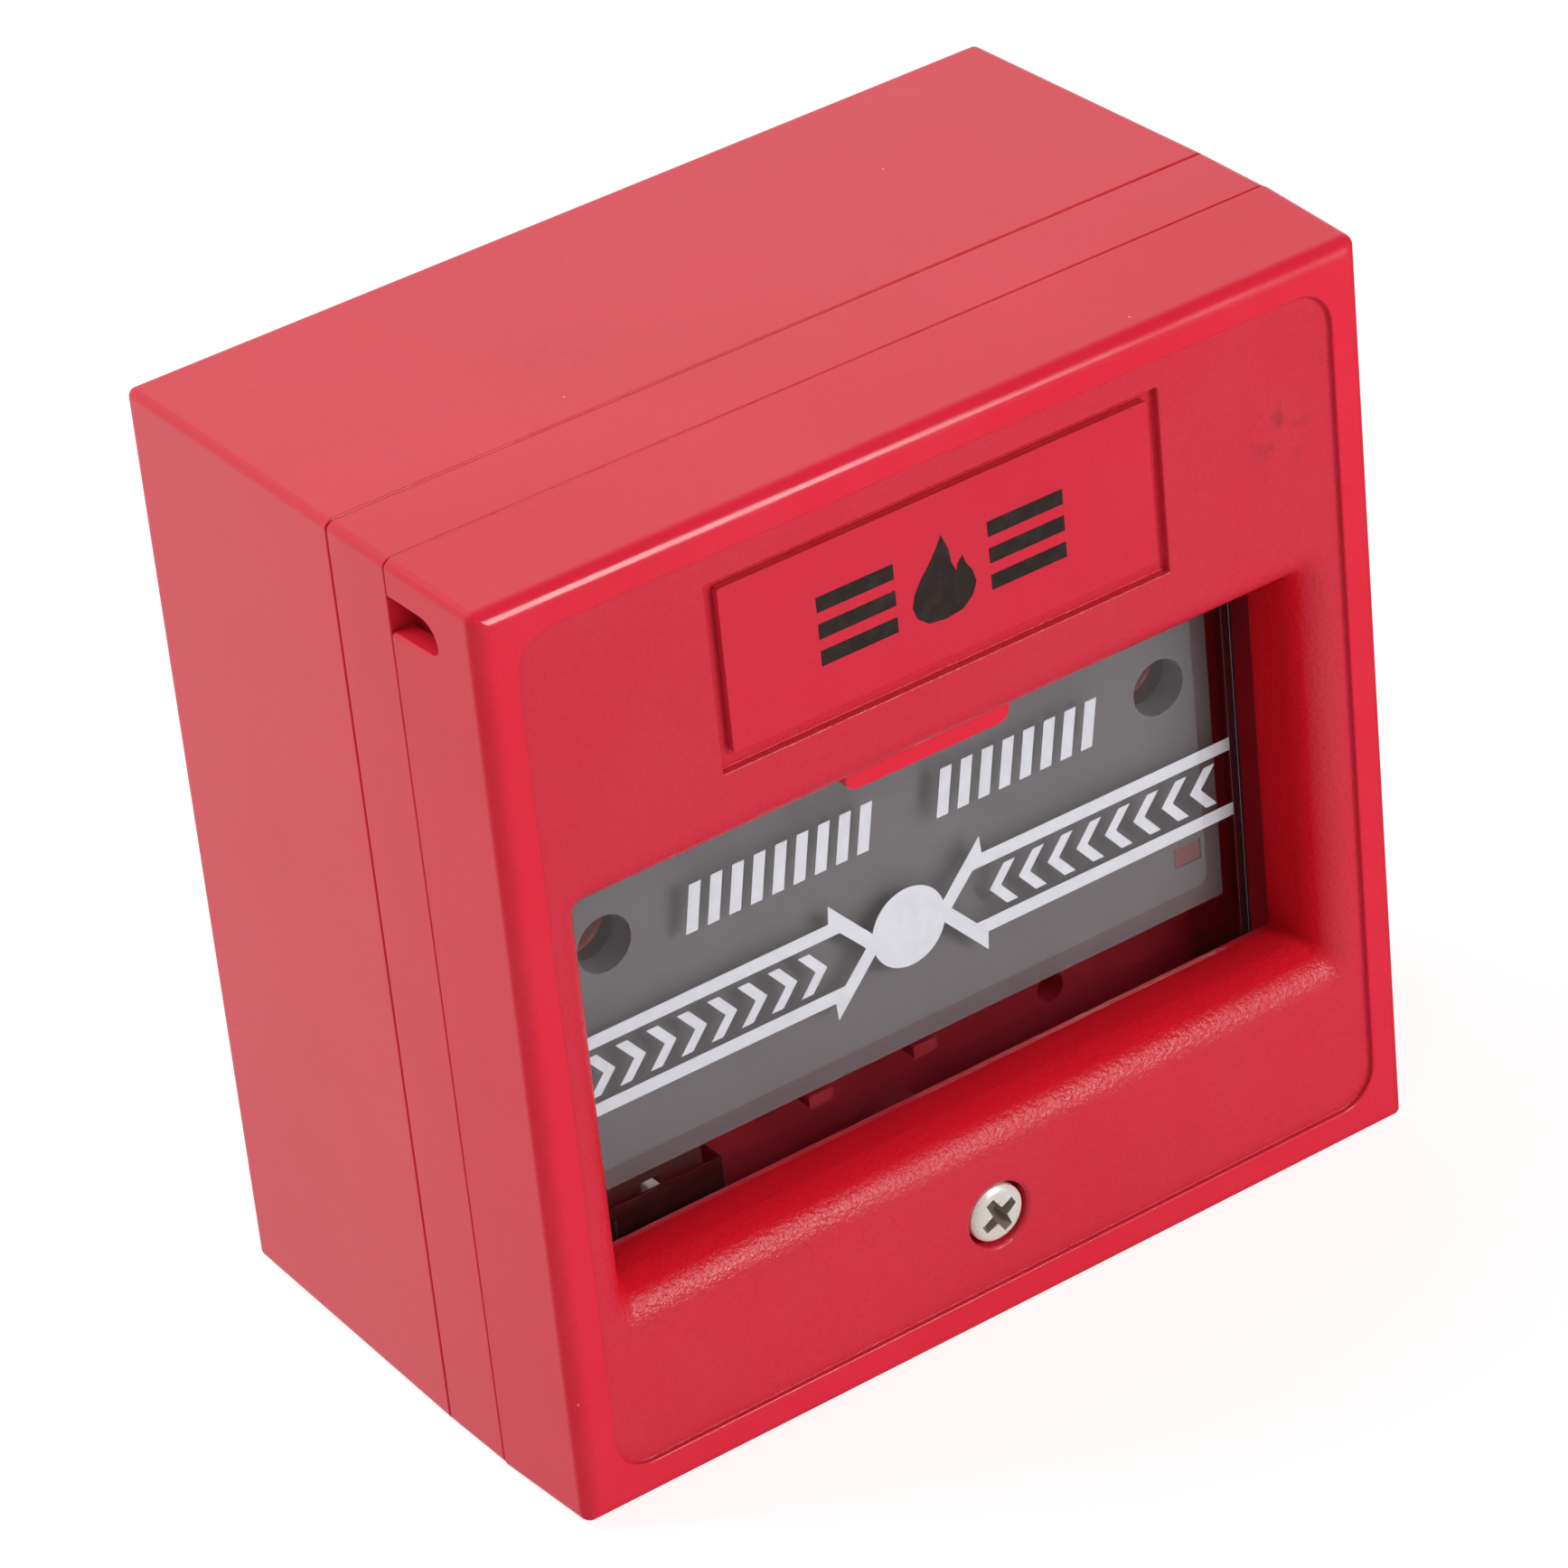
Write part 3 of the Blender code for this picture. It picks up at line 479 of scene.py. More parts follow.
class Nodes:
    """A material's node tree, with short calls for the nodes that the finishes here share."""

    def __init__(self, name):
        self.material = bpy.data.materials.new(name)
        self.material.use_nodes = True
        self.tree = self.material.node_tree
        self.shader = self.tree.nodes["Principled BSDF"]
        self.place = self.tree.nodes.new("ShaderNodeTexCoord").outputs["Object"]

    def set(self, **values):
        for socket, value in values.items():
            self.shader.inputs[socket.replace("_", " ")].default_value = value

    def link(self, source, socket):
        self.tree.links.new(source, self.shader.inputs[socket])

    def noise(self, scale, detail=2.0, roughness=0.5, place=None):
        made = self.tree.nodes.new("ShaderNodeTexNoise")
        made.inputs["Scale"].default_value = scale
        made.inputs["Detail"].default_value = detail
        made.inputs["Roughness"].default_value = roughness
        self.tree.links.new(place or self.place, made.inputs["Vector"])
        return made.outputs["Fac"]

    def cells(self, scale):
        made = self.tree.nodes.new("ShaderNodeTexVoronoi")
        made.inputs["Scale"].default_value = scale
        self.tree.links.new(self.place, made.inputs["Vector"])
        return made.outputs["Distance"]

    def stretched(self, factors):
        made = self.tree.nodes.new("ShaderNodeMapping")
        made.inputs["Scale"].default_value = factors
        self.tree.links.new(self.place, made.inputs["Vector"])
        return made.outputs["Vector"]

    def spread(self, source, low, high, to_low=0.0, to_high=1.0):
        made = self.tree.nodes.new("ShaderNodeMapRange")
        made.inputs["From Min"].default_value = low
        made.inputs["From Max"].default_value = high
        made.inputs["To Min"].default_value = to_low
        made.inputs["To Max"].default_value = to_high
        self.tree.links.new(source, made.inputs["Value"])
        return made.outputs["Result"]

    def math(self, operation, one, two):
        made = self.tree.nodes.new("ShaderNodeMath")
        made.operation = operation
        for socket, value in zip(made.inputs, (one, two)):
            if isinstance(value, (int, float)):
                socket.default_value = value
            else:
                self.tree.links.new(value, socket)
        return made.outputs["Value"]

    def mix(self, share, one, two):
        """A colour between one and two; each is a colour or the output of another mix."""
        made = self.tree.nodes.new("ShaderNodeMix")
        made.data_type = "RGBA"
        self.tree.links.new(share, made.inputs["Factor"])
        for socket, colour in zip((made.inputs[6], made.inputs[7]), (one, two)):
            if isinstance(colour, tuple):
                socket.default_value = (*colour, 1.0)
            else:
                self.tree.links.new(colour, socket)
        return made.outputs[2]

    def bump(self, height, strength, distance, after=None):
        made = self.tree.nodes.new("ShaderNodeBump")
        made.inputs["Strength"].default_value = strength
        made.inputs["Distance"].default_value = distance * MM
        self.tree.links.new(height, made.inputs["Height"])
        if after:
            self.tree.links.new(after, made.inputs["Normal"])
        return made.outputs["Normal"]

    def axis(self, letter):
        made = self.tree.nodes.new("ShaderNodeSeparateXYZ")
        self.tree.links.new(self.place, made.inputs[0])
        return made.outputs[letter]

    def spot(self, centre, radius):
        """1 at a place on the object, falling to 0 at a distance from it, in millimetres."""
        made = self.tree.nodes.new("ShaderNodeVectorMath")
        made.operation = "DISTANCE"
        self.tree.links.new(self.place, made.inputs[0])
        made.inputs[1].default_value = (centre[0] * MM, at(centre[1]) * MM, centre[2] * MM)
        return self.spread(made.outputs["Value"], 0.0, radius * MM, 1.0, 0.0)


def red_plastic(
    name, colour, dark, roughness, grain, grain_depth,
    smudges=(), sunk=None, side=None, wall=None, upper=None,
):
    """Moulded red plastic: cloudy colour, dust specks, uneven gloss and a fine mould grain.

    The last four are baked shading that suits this studio's light, not the plastic's own colour. Sunk is
    the depths between which the colour turns deeper and loses its gloss. Side is the distances from the
    middle between which it turns to shade, and wall those where it turns to lit red again. Upper is the
    heights between which it turns a little duller towards the top.
    """
    n = Nodes(name)
    cloud = n.spread(n.noise(45.0, 4.0), 0.35, 0.65)
    base = n.mix(cloud, colour, dark)
    # Painted shade: the red turns a little duller towards the top.
    if upper:
        duller = (colour[0] * 0.9, colour[1], colour[2])
        base = n.mix(n.spread(n.axis("Z"), upper[0] * MM, upper[1] * MM, 0.0, 0.85), base, duller)
    fleck = n.spread(n.noise(2600.0, 1.0), 0.45, 0.75, 0.0, 0.35)
    base = n.mix(fleck, base, tuple(channel * 0.8 for channel in colour))
    dust = n.spread(n.cells(135.0), 0.012, 0.018, 0.45, 0.0)
    base = n.mix(dust, base, DUST_PINK)
    for centre, radius, depth in smudges:
        blots = n.spread(n.noise(420.0, 5.0, 0.7), 0.5, 0.62)
        patch = n.math("MULTIPLY", n.spot(centre, radius), blots)
        base = n.mix(n.math("MULTIPLY", patch, depth), base, SMUDGE_RED)
    n.set(IOR=1.52, Specular_IOR_Level=0.5)
    # Painted shade: deeper red without gloss further back from the front face.
    if sunk:
        deeper = n.spread(n.axis("Y"), at(sunk[0]) * MM, at(sunk[1]) * MM)
        base = n.mix(deeper, base, (colour[0], colour[1] * 0.42, colour[2] * 0.42))
        n.link(n.spread(deeper, 0.0, 1.0, 0.5, 0.0), "Specular IOR Level")
    # Painted shade near the sides, then lit red again on the walls as painted light.
    for limits, tone in ((side, SHADE_RED), (wall, WALL_RED)):
        if limits:
            out = n.math("ABSOLUTE", n.axis("X"), 0.0)
            base = n.mix(n.spread(out, limits[0] * MM, limits[1] * MM), base, tone)
    n.link(base, "Base Color")
    uneven = n.spread(n.noise(110.0, 5.0, 0.6), 0.3, 0.7, roughness - 0.045, roughness + 0.045)
    n.link(uneven, "Roughness")
    rolling = n.bump(n.noise(160.0, 2.0), 0.35, 0.04)
    n.link(n.bump(n.noise(grain, 2.0, 0.6), 0.8, grain_depth, rolling), "Normal")
    return n.material


def metal(name, colour, other, roughness, grain=(1.0, 1.0, 1.0), bare=1.0):
    """Bare metal: slight tone changes, fine tool marks and worn patches."""
    n = Nodes(name)
    n.link(n.mix(n.spread(n.noise(420.0, 4.0), 0.35, 0.65), colour, other), "Base Color")
    marks = n.noise(2200.0, 3.0, 0.6, n.stretched(grain))
    n.link(n.spread(marks, 0.3, 0.7, roughness - 0.07, roughness + 0.09), "Roughness")
    n.link(n.bump(marks, 0.4, 0.006), "Normal")
    n.set(Metallic=bare)
    return n.material


def plastic(name, colour, other, roughness, grain=1800.0, depth=0.012):
    """Plain moulded plastic: slight tone changes and a fine grain."""
    n = Nodes(name)
    n.link(n.mix(n.spread(n.noise(180.0, 4.0), 0.35, 0.65), colour, other), "Base Color")
    n.link(n.spread(n.noise(300.0, 4.0), 0.3, 0.7, roughness - 0.05, roughness + 0.05), "Roughness")
    n.link(n.bump(n.noise(grain, 2.0), 0.7, depth), "Normal")
    n.set(IOR=1.5)
    return n.material


def printed(name, colour, other, roughness):
    """Screen-printed ink: slightly thin in places, with a mesh texture."""
    n = Nodes(name)
    n.link(n.mix(n.spread(n.noise(900.0, 4.0), 0.4, 0.7), colour, other), "Base Color")
    n.link(n.spread(n.noise(700.0, 3.0), 0.3, 0.7, roughness - 0.06, roughness + 0.06), "Roughness")
    n.link(n.bump(n.noise(3500.0, 1.0), 0.5, 0.008), "Normal")
    return n.material


def board_finish():
    """Solder mask over copper tracks: slightly paler bands in a fine grid under the green."""
    n = Nodes("board_finish")
    tracks = n.spread(n.noise(260.0, 0.0, 0.5, n.stretched((0.25, 1.0, 1.6))), 0.5, 0.52)
    n.link(n.mix(tracks, (0.012, 0.10, 0.035), (0.02, 0.17, 0.06)), "Base Color")
    n.link(n.spread(n.noise(500.0, 3.0), 0.3, 0.7, 0.25, 0.4), "Roughness")
    n.link(n.bump(tracks, 0.6, 0.03), "Normal")
    return n.material


def pane_finish():
    """Clear sheet: faint haze, wipe marks and a little smoke tint. Its side edges are painted opaque and
    nearly black, as painted shade in place of the clear edge.
    """
    n = Nodes("pane_finish")
    wipe = n.noise(70.0, 5.0, 0.65, n.stretched((1.0, 1.0, 3.0)))
    clear = n.mix(n.spread(n.noise(30.0, 3.0), 0.3, 0.7), (0.92, 0.92, 0.92), (0.88, 0.88, 0.89))
    # Painted shade: the side edges are opaque and nearly black.
    across = n.math("ABSOLUTE", n.axis("X"), 0.0)
    edge = n.spread(across, PANE_EDGE * MM, (PANE_EDGE + 0.05) * MM)
    n.link(n.mix(edge, clear, (0.02, 0.008, 0.01)), "Base Color")
    n.link(n.math("MAXIMUM", n.spread(wipe, 0.45, 0.8, 0.0, 0.09), edge), "Roughness")
    n.link(n.spread(edge, 0.0, 1.0, 1.0, 0.0), "Transmission Weight")
    n.link(n.spread(edge, 0.0, 1.0, 0.5, 0.1), "Specular IOR Level")
    n.set(IOR=1.49)
    return n.material


def lamp_finish():
    """Red tinted lens plastic, partly clear."""
    n = Nodes("lamp_finish")
    cloud = n.spread(n.noise(300.0, 3.0), 0.3, 0.7)
    n.link(n.mix(cloud, (0.85, 0.06, 0.06), (0.7, 0.03, 0.03)), "Base Color")
    n.link(n.spread(n.noise(600.0, 2.0), 0.3, 0.7, 0.08, 0.16), "Roughness")
    n.set(IOR=1.5, Transmission_Weight=0.35)
    return n.material


def floor_finish():
    """Seamless pale paper that glows enough to read as plain white."""
    n = Nodes("floor_finish")
    n.link(n.mix(n.noise(6.0, 3.0), (0.36, 0.36, 0.36), (0.33, 0.33, 0.33)), "Base Color")
    n.set(Roughness=0.9, Specular_IOR_Level=0.1)
    n.set(Emission_Color=(1.0, 1.0, 1.0, 1.0), Emission_Strength=0.78)
    return n.material


red_smooth = red_plastic(
    "red_smooth", (0.66, 0.020, 0.045), (0.63, 0.017, 0.038), 0.2, 2600.0, 0.004, SMUDGES
)
# Grained panel finish with painted shade: deeper red further back in the window and duller red towards the
# top.
red_grained_painted_shade = red_plastic(
    "red_grained_painted_shade", (0.60, 0.021, 0.044), (0.57, 0.018, 0.038), 0.3, 2300.0, 0.14, SMUDGES,
    sunk=(0.9, 2.3), upper=(-20.0, 4.0),
)
red_label = red_plastic(
    "red_label", (0.57, 0.022, 0.044), (0.55, 0.019, 0.040), 0.22, 2600.0, 0.003
)
# Inside faces: the red darkened as painted shade, nearly black near the sides and lit red again on the
# inner walls.
red_inside_painted_shade = red_plastic(
    "red_inside_painted_shade", (0.17, 0.005, 0.010), (0.14, 0.004, 0.008), 0.5, 2600.0, 0.01,
    side=(32.0, 33.5), wall=(38.3, 39.0),
)
nickel = metal("nickel_finish", (0.95, 0.91, 0.84), (0.89, 0.85, 0.77), 0.3, bare=0.4)
# Darker nickel for the cross recess, as painted shade.
nickel_painted_shade = metal("nickel_painted_shade", (0.30, 0.24, 0.18), (0.22, 0.17, 0.13), 0.45, bare=0.3)
steel = metal("steel_finish", (0.62, 0.62, 0.63), (0.52, 0.52, 0.54), 0.3, (0.2, 1.0, 1.0))
blued_steel = metal("blued_steel", (0.055, 0.05, 0.055), (0.035, 0.033, 0.037), 0.42, (0.2, 1.0, 1.0))
brass = metal("brass_finish", (0.80, 0.58, 0.26), (0.70, 0.48, 0.20), 0.32)
black = plastic("black_finish", (0.009, 0.009, 0.010), (0.014, 0.013, 0.014), 0.5)
plate_grey = plastic("plate_finish", (0.098, 0.086, 0.089), (0.090, 0.078, 0.081), 0.5, 1400.0, 0.02)
washer_white = plastic("washer_finish", (0.80, 0.79, 0.76), (0.72, 0.71, 0.68), 0.5)
block_green = plastic("block_finish", (0.04, 0.28, 0.10), (0.03, 0.22, 0.08), 0.45)
beige = plastic("resistor_finish", (0.66, 0.50, 0.32), (0.58, 0.42, 0.26), 0.4)
board_green = board_finish()
lamp_red = plastic("lamp_window_finish", (0.15, 0.035, 0.04), (0.12, 0.03, 0.034), 0.4)
white_ink = printed("white_ink", (0.535, 0.535, 0.57), (0.49, 0.49, 0.53), 0.5)
black_ink = printed("black_ink", (0.022, 0.014, 0.012), (0.034, 0.022, 0.019), 0.5)


# ---------------------------------------------------------------- front cover

def window_cutter():
    """The recess round the pane, as rings: a rounded lip above and at the sides and a roll below."""
    lip_centre = PANEL_STEP + LIP_RADIUS
    roll_centre = PANEL_STEP + ROLL_RADIUS
    rings = []

    def ring(depth, side, lip, roll):
        corner = 0.5 + 0.8 * max(side, 0)
        half = WINDOW_HALF + side
        rings.append((rounded(-half, half, ROLL_TOP - roll, WINDOW_TOP + lip, corner, 8), depth))

    ring(-2.0, LIP_RADIUS - 0.05, LIP_RADIUS + 0.05, ROLL_RADIUS)
    ring(PANEL_STEP - 0.03, LIP_RADIUS - 0.05, LIP_RADIUS + 0.05, ROLL_RADIUS)
    for i in range(LIP_STEPS + 1):
        turn = 84 - 84 * i / LIP_STEPS
        depth = lip_centre - LIP_RADIUS * math.sin(math.radians(turn))
        out = LIP_RADIUS * (1 - math.cos(math.radians(turn)))
        reach = min(max(roll_centre - depth, 0), ROLL_RADIUS)
        roll = ROLL_RADIUS - math.sqrt(ROLL_RADIUS**2 - reach**2)
        ring(depth, out, out, roll)
    for share in (0.2, 0.4, 0.6, 0.8):
        depth = lip_centre + (COVER_SKIN - 0.2 - lip_centre) * share
        reach = max(roll_centre - depth, 0)
        roll = ROLL_RADIUS - math.sqrt(ROLL_RADIUS**2 - reach**2)
        fall = ROLL_FALL * max(depth - roll_centre, 0) ** 2 / (COVER_SKIN - roll_centre) ** 2
        ring(depth, 0, 0, roll + fall)
    ring(COVER_SKIN - 0.2, 0, 0, ROLL_FALL * 0.9)
    ring(COVER_SKIN - 0.06, 0.06, 0.06, ROLL_FALL)
    ring(COVER_SKIN + 0.02, 0.22, 0.22, ROLL_FALL + 0.16)
    ring(COVER_SKIN + 1.2, 0.22, 0.22, ROLL_FALL + 0.16)
    return stack_y(rings)


def cover_outside():
    """The cover as a solid block: an eased rear edge, tapered sides and a rounded front edge."""
    seam = ease(SEAM_EDGE, COVER_END - SEAM_GAP / 2, -1)
    rings = [(square(HALF - lost, CORNER), depth) for lost, depth in seam]
    for i in range(FILLET_STEPS + 1):
        angle = math.radians(90 * i / FILLET_STEPS)
        lost = FRONT_FILLET * (1 - math.cos(angle))
        depth = FRONT_FILLET * (1 - math.sin(angle))
        rings.append((square(COVER_FRONT_HALF - lost, max(CORNER - lost, 0.45)), depth))
    return stack_y(rings)


def cover_pocket_steps():
    """Cuts that hollow the cover from behind and leave its skin and the window's walls."""
    rear = COVER_END + 1
    deep = COVER_INNER - 0.1
    edge = COVER_INNER - 0.15
    steps = [("DIFFERENCE", prism_y(square(COVER_INNER, 1.0), COVER_SKIN, rear))]
    for low, high in ((WINDOW_TOP + WINDOW_WALL, deep), (-deep, ROLL_TOP - WINDOW_WALL)):
        pocket = rounded(-deep, deep, low, high, 0.9, 4)
        steps.append(("DIFFERENCE", prism_y(pocket, COVER_FACE_BACK, rear - 0.5)))
    wedge = [(edge, WEDGE_FRONT), (COVER_INNER - 1.0, WEDGE_FRONT)]
    wedge += [(WINDOW_HALF + SIDE_WALL, COVER_SKIN), (WINDOW_HALF + SIDE_WALL, rear - 0.7)]
    wedge += [(edge, rear - 0.7)]
    for side in (1, -1):
        outline = [(side * x, depth) for x, depth in wedge]
        steps.append(("DIFFERENCE", prism_z(outline, ROLL_TOP - 3.5, WINDOW_TOP + 3.5)))
    return steps


def slot_cutter():
    """The D-shaped slot in the left side, with an eased mouth."""
    outline = [(COVER_END + 1, SLOT_BOTTOM), (SLOT_FRONT + 0.8, SLOT_BOTTOM + 0.3)]
    outline += [(SLOT_FRONT + 0.1, SLOT_BOTTOM + 0.9)]
    outline += arc(SLOT_FRONT + SLOT_CURVE, SLOT_TOP - SLOT_CURVE, SLOT_CURVE, 180, 90, 8)
    outline += [(COVER_END + 1, SLOT_TOP)]
    face = -COVER_FRONT_HALF - 0.14
    outline.reverse()
    sections = [(0.0, face + 3.5), (0.0, face + 0.25), (0.05, face + 0.1)]
    sections += [(0.25, face - 0.12), (0.25, face - 2)]
    return loft([[(x, at(depth), z) for depth, z in inset(outline, -out)] for out, x in sections])


def front_cover():
    """The cover's shell; faces of the sunk panel and the window's walls have the grained finish, which
    carries painted shade: deeper red further back in the window and duller red towards the top.
    """
    well = [(SCREW_WELL_R + growth, depth) for growth, depth in mouth(PANEL_STEP, 0.35)]
    behind = COVER_END + 0.9
    well = [(SCREW_BORE_R, behind), (SCREW_BORE_R, SCREW_WELL), (SCREW_WELL_R, SCREW_WELL)] + well
    boss = [
        (COVER_BOSS_R, COVER_FACE_BACK - 0.8),
        (COVER_BOSS_R, COVER_BOSS_END - 0.2),
        (COVER_BOSS_R - 0.2, COVER_BOSS_END),
    ]
    washer_well = [(WASHER_WELL_R, COVER_BOSS_END - 1.3), (WASHER_WELL_R, behind)]
    label_recess = recess(
        RECESS, RECESS_CORNER, RECESS_FLOOR, PANEL_STEP, RECESS_FOOT, RECESS_MOUTH, 4
    )
    tab = rounded(-TAB_HALF, TAB_HALF, TAB_BOTTOM, WINDOW_TOP + 2.5, 1.2, 6)
    steps = [
        ("DIFFERENCE", recess(PANEL, PANEL_CORNER, PANEL_STEP, 0.0, PANEL_FOOT, PANEL_MOUTH)),
        ("DIFFERENCE", window_cutter()),
        *cover_pocket_steps(),
        ("DIFFERENCE", label_recess),
        ("UNION", turned_y(0, SCREW_Z, boss)),
        ("DIFFERENCE", turned_y(0, SCREW_Z, well)),
        ("DIFFERENCE", turned_y(0, SCREW_Z, washer_well)),
        ("UNION", soft_prism_y(tab, TAB_FRONT, TAB_FRONT + TAB_THICK, TAB_EDGE)),
        ("DIFFERENCE", slot_cutter()),
    ]
    cover = raw_object("cover_shell", cover_outside())
    carve(cover, steps)
    finish_piece(cover, "cover", [red_smooth, red_grained_painted_shade], ["front_cover"])
    x0, x1, z0, z1 = PANEL
    # Panel and window faces take the grained finish with its painted shade.
    for face in cover.data.polygons:
        c = face.center / MM
        inside = x0 < c.x < x1 and z0 < c.z < z1 and at(0.2) < c.y < at(COVER_SKIN + 0.2)
        on_tab = abs(c.x) < TAB_HALF + 0.1 and TAB_BOTTOM - 0.1 < c.z < WINDOW_TOP - 0.1
        on_tab = on_tab and c.y > at(TAB_FRONT - 0.1)
        if inside and not on_tab and face.normal.y < 0.2:
            face.material_index = 1


def label_piece():
    outline = rounded(*LABEL, LABEL_CORNER, 4)
    mesh = soft_prism_y(outline, LABEL_FRONT, RECESS_FLOOR - 0.05, LABEL_EDGE)
    piece("label_face", mesh, "cover", [red_label], ["label_insert"])


# ---------------------------------------------------------------- printed marks

def flame(cx, z0, height):
    """A plain flame: a leaning tongue with a smaller one beside it."""
    shape = [
        (0.00, 0.00), (0.22, 0.03), (0.36, 0.14), (0.42, 0.29), (0.38, 0.44), (0.30, 0.56), (0.27, 0.66),
        (0.20, 0.58), (0.18, 0.50), (0.12, 0.64), (0.10, 0.80), (0.02, 1.00), (-0.06, 0.86), (-0.16, 0.72),
        (-0.28, 0.58), (-0.37, 0.44), (-0.41, 0.29), (-0.36, 0.14), (-0.22, 0.03),
    ]
    return [(cx + x * height, z0 + z * height) for x, z in shape]


def label_marks():
    """A flame between two groups of bars, printed on the label."""
    shapes = [flame(0.0, FLAME_BOTTOM, FLAME_HEIGHT)]
    for side in (-1, 1):
        ends = sorted((side * BAR_START, side * BAR_END))
        for rise in BAR_RISES:
            z = FLAME_BOTTOM + rise
            shapes.append(rectangle(*ends, z, z + BAR_THICK))
    mesh = merged(prism_y(shape, LABEL_FRONT - PRINT_THICK, LABEL_FRONT - 0.005) for shape in shapes)
    piece("label_marks", mesh, "cover", [black_ink])


def pane_marks():
    """White marks on the pane's back face: two arrows that meet at a dot, chevrons and hatching."""
    middle = DOT_Z - 0.15
    half = [(MARKS_END, 3.8), (7.8, 3.85), (7.66, 5.55), (3.4, 0.85)]
    inner = [(MARKS_END, 2.6), (6.75, 2.6), (4.35, 0.0)]
    lower_half = [(x, -z) for x, z in reversed(half)]
    lower_inner = [(x, -z) for x, z in inner]
    outline = half + lower_half + lower_inner + inner[1::-1]
    upper_arm = [(0.0, 0.0), (1.6, 1.95), (2.75, 1.95), (1.15, 0.0)]
    chevron = upper_arm + [(2.75, -1.95), (1.6, -1.95)]
    shapes = []
    for side in (-1, 1):
        shapes.append([(side * x, middle + z) for x, z in outline])
        for i in range(CHEVRONS):
            start = CHEVRON_START + CHEVRON_STEP * i
            shapes.append([(side * (start + x), middle + z) for x, z in chevron])
    for start, count in HATCHING:
        for i in range(count):
            x = start + HATCH_STEP * i
            shapes.append([(x, 0.3), (x + 1.15, 0.3), (x + 1.95, 4.7), (x + 0.8, 4.7)])
    front = PANE_BACK + 0.01
    mesh = merged(prism_y(shape, front, front + PRINT_THICK) for shape in shapes)
    piece("pane_marks", mesh, "pane", [white_ink])
    faces = (PANE_BACK + 0.005, PANE_BACK + 0.02 + PRINT_THICK)
    dot = turned_y(0, DOT_Z, [(DOT_R, depth) for depth in faces], 56)
    piece("press_dot", dot, "pane", [white_ink])


# ---------------------------------------------------------------- cover screw

def cover_screw():
    """A domed head with a tapered cross, over a threaded shank."""
    face = SCREW_FRONT
    dome = [(0.3, face), (1.0, face + 0.03), (1.6, face + 0.10), (2.1, face + 0.22), (2.45, face + 0.38)]
    dome += [(SCREW_HEAD_R - 0.04, face + 0.56), (SCREW_HEAD_R, face + 0.8)]
    dome += [(SCREW_HEAD_R, face + SCREW_HEAD)]
    profile = dome + [(SCREW_THREAD_R, face + SCREW_HEAD)]
    depth = face + SCREW_HEAD
    while depth < SCREW_THREAD_END:
        profile += [(SCREW_THREAD_R, depth + 0.12), (SCREW_CORE_R, depth + 0.28)]
        profile += [(SCREW_CORE_R, depth + 0.34), (SCREW_THREAD_R, depth + SCREW_PITCH)]
        depth += SCREW_PITCH
    profile += [(1.0, SCREW_TIP)]
    rings = []
    spin = Matrix.Rotation(math.radians(SCREW_TURNED), 2)
    for reach, half, down in CROSS_SECTIONS:
        ring = []
        arm = [(reach, -half), (reach, half), (half * 1.3, half * 1.3)]
        for quarter in range(4):
            turn = Matrix.Rotation(math.radians(90 * quarter), 2)
            ring += [spin @ turn @ Vector(point) for point in arm]
        rings.append([(x, at(face + down), SCREW_Z + z) for x, z in ring])
    mesh = turned_y(0, SCREW_Z, profile, 40)
    steps = [("DIFFERENCE", loft(rings))]
    finishes = [nickel, nickel_painted_shade]
    head = piece("screw_head", mesh, "cover_screw", finishes, ["cover_screw"], steps)
    # The cross recess takes the darker nickel, as painted shade.
    for facet in head.data.polygons:
        c = facet.center / MM
        deep = at(face + 0.12) < c.y < at(face + SCREW_HEAD - 0.2)
        if deep and math.hypot(c.x, c.z - SCREW_Z) < CROSS_REACH:
            facet.material_index = 1


# ---------------------------------------------------------------- base frame

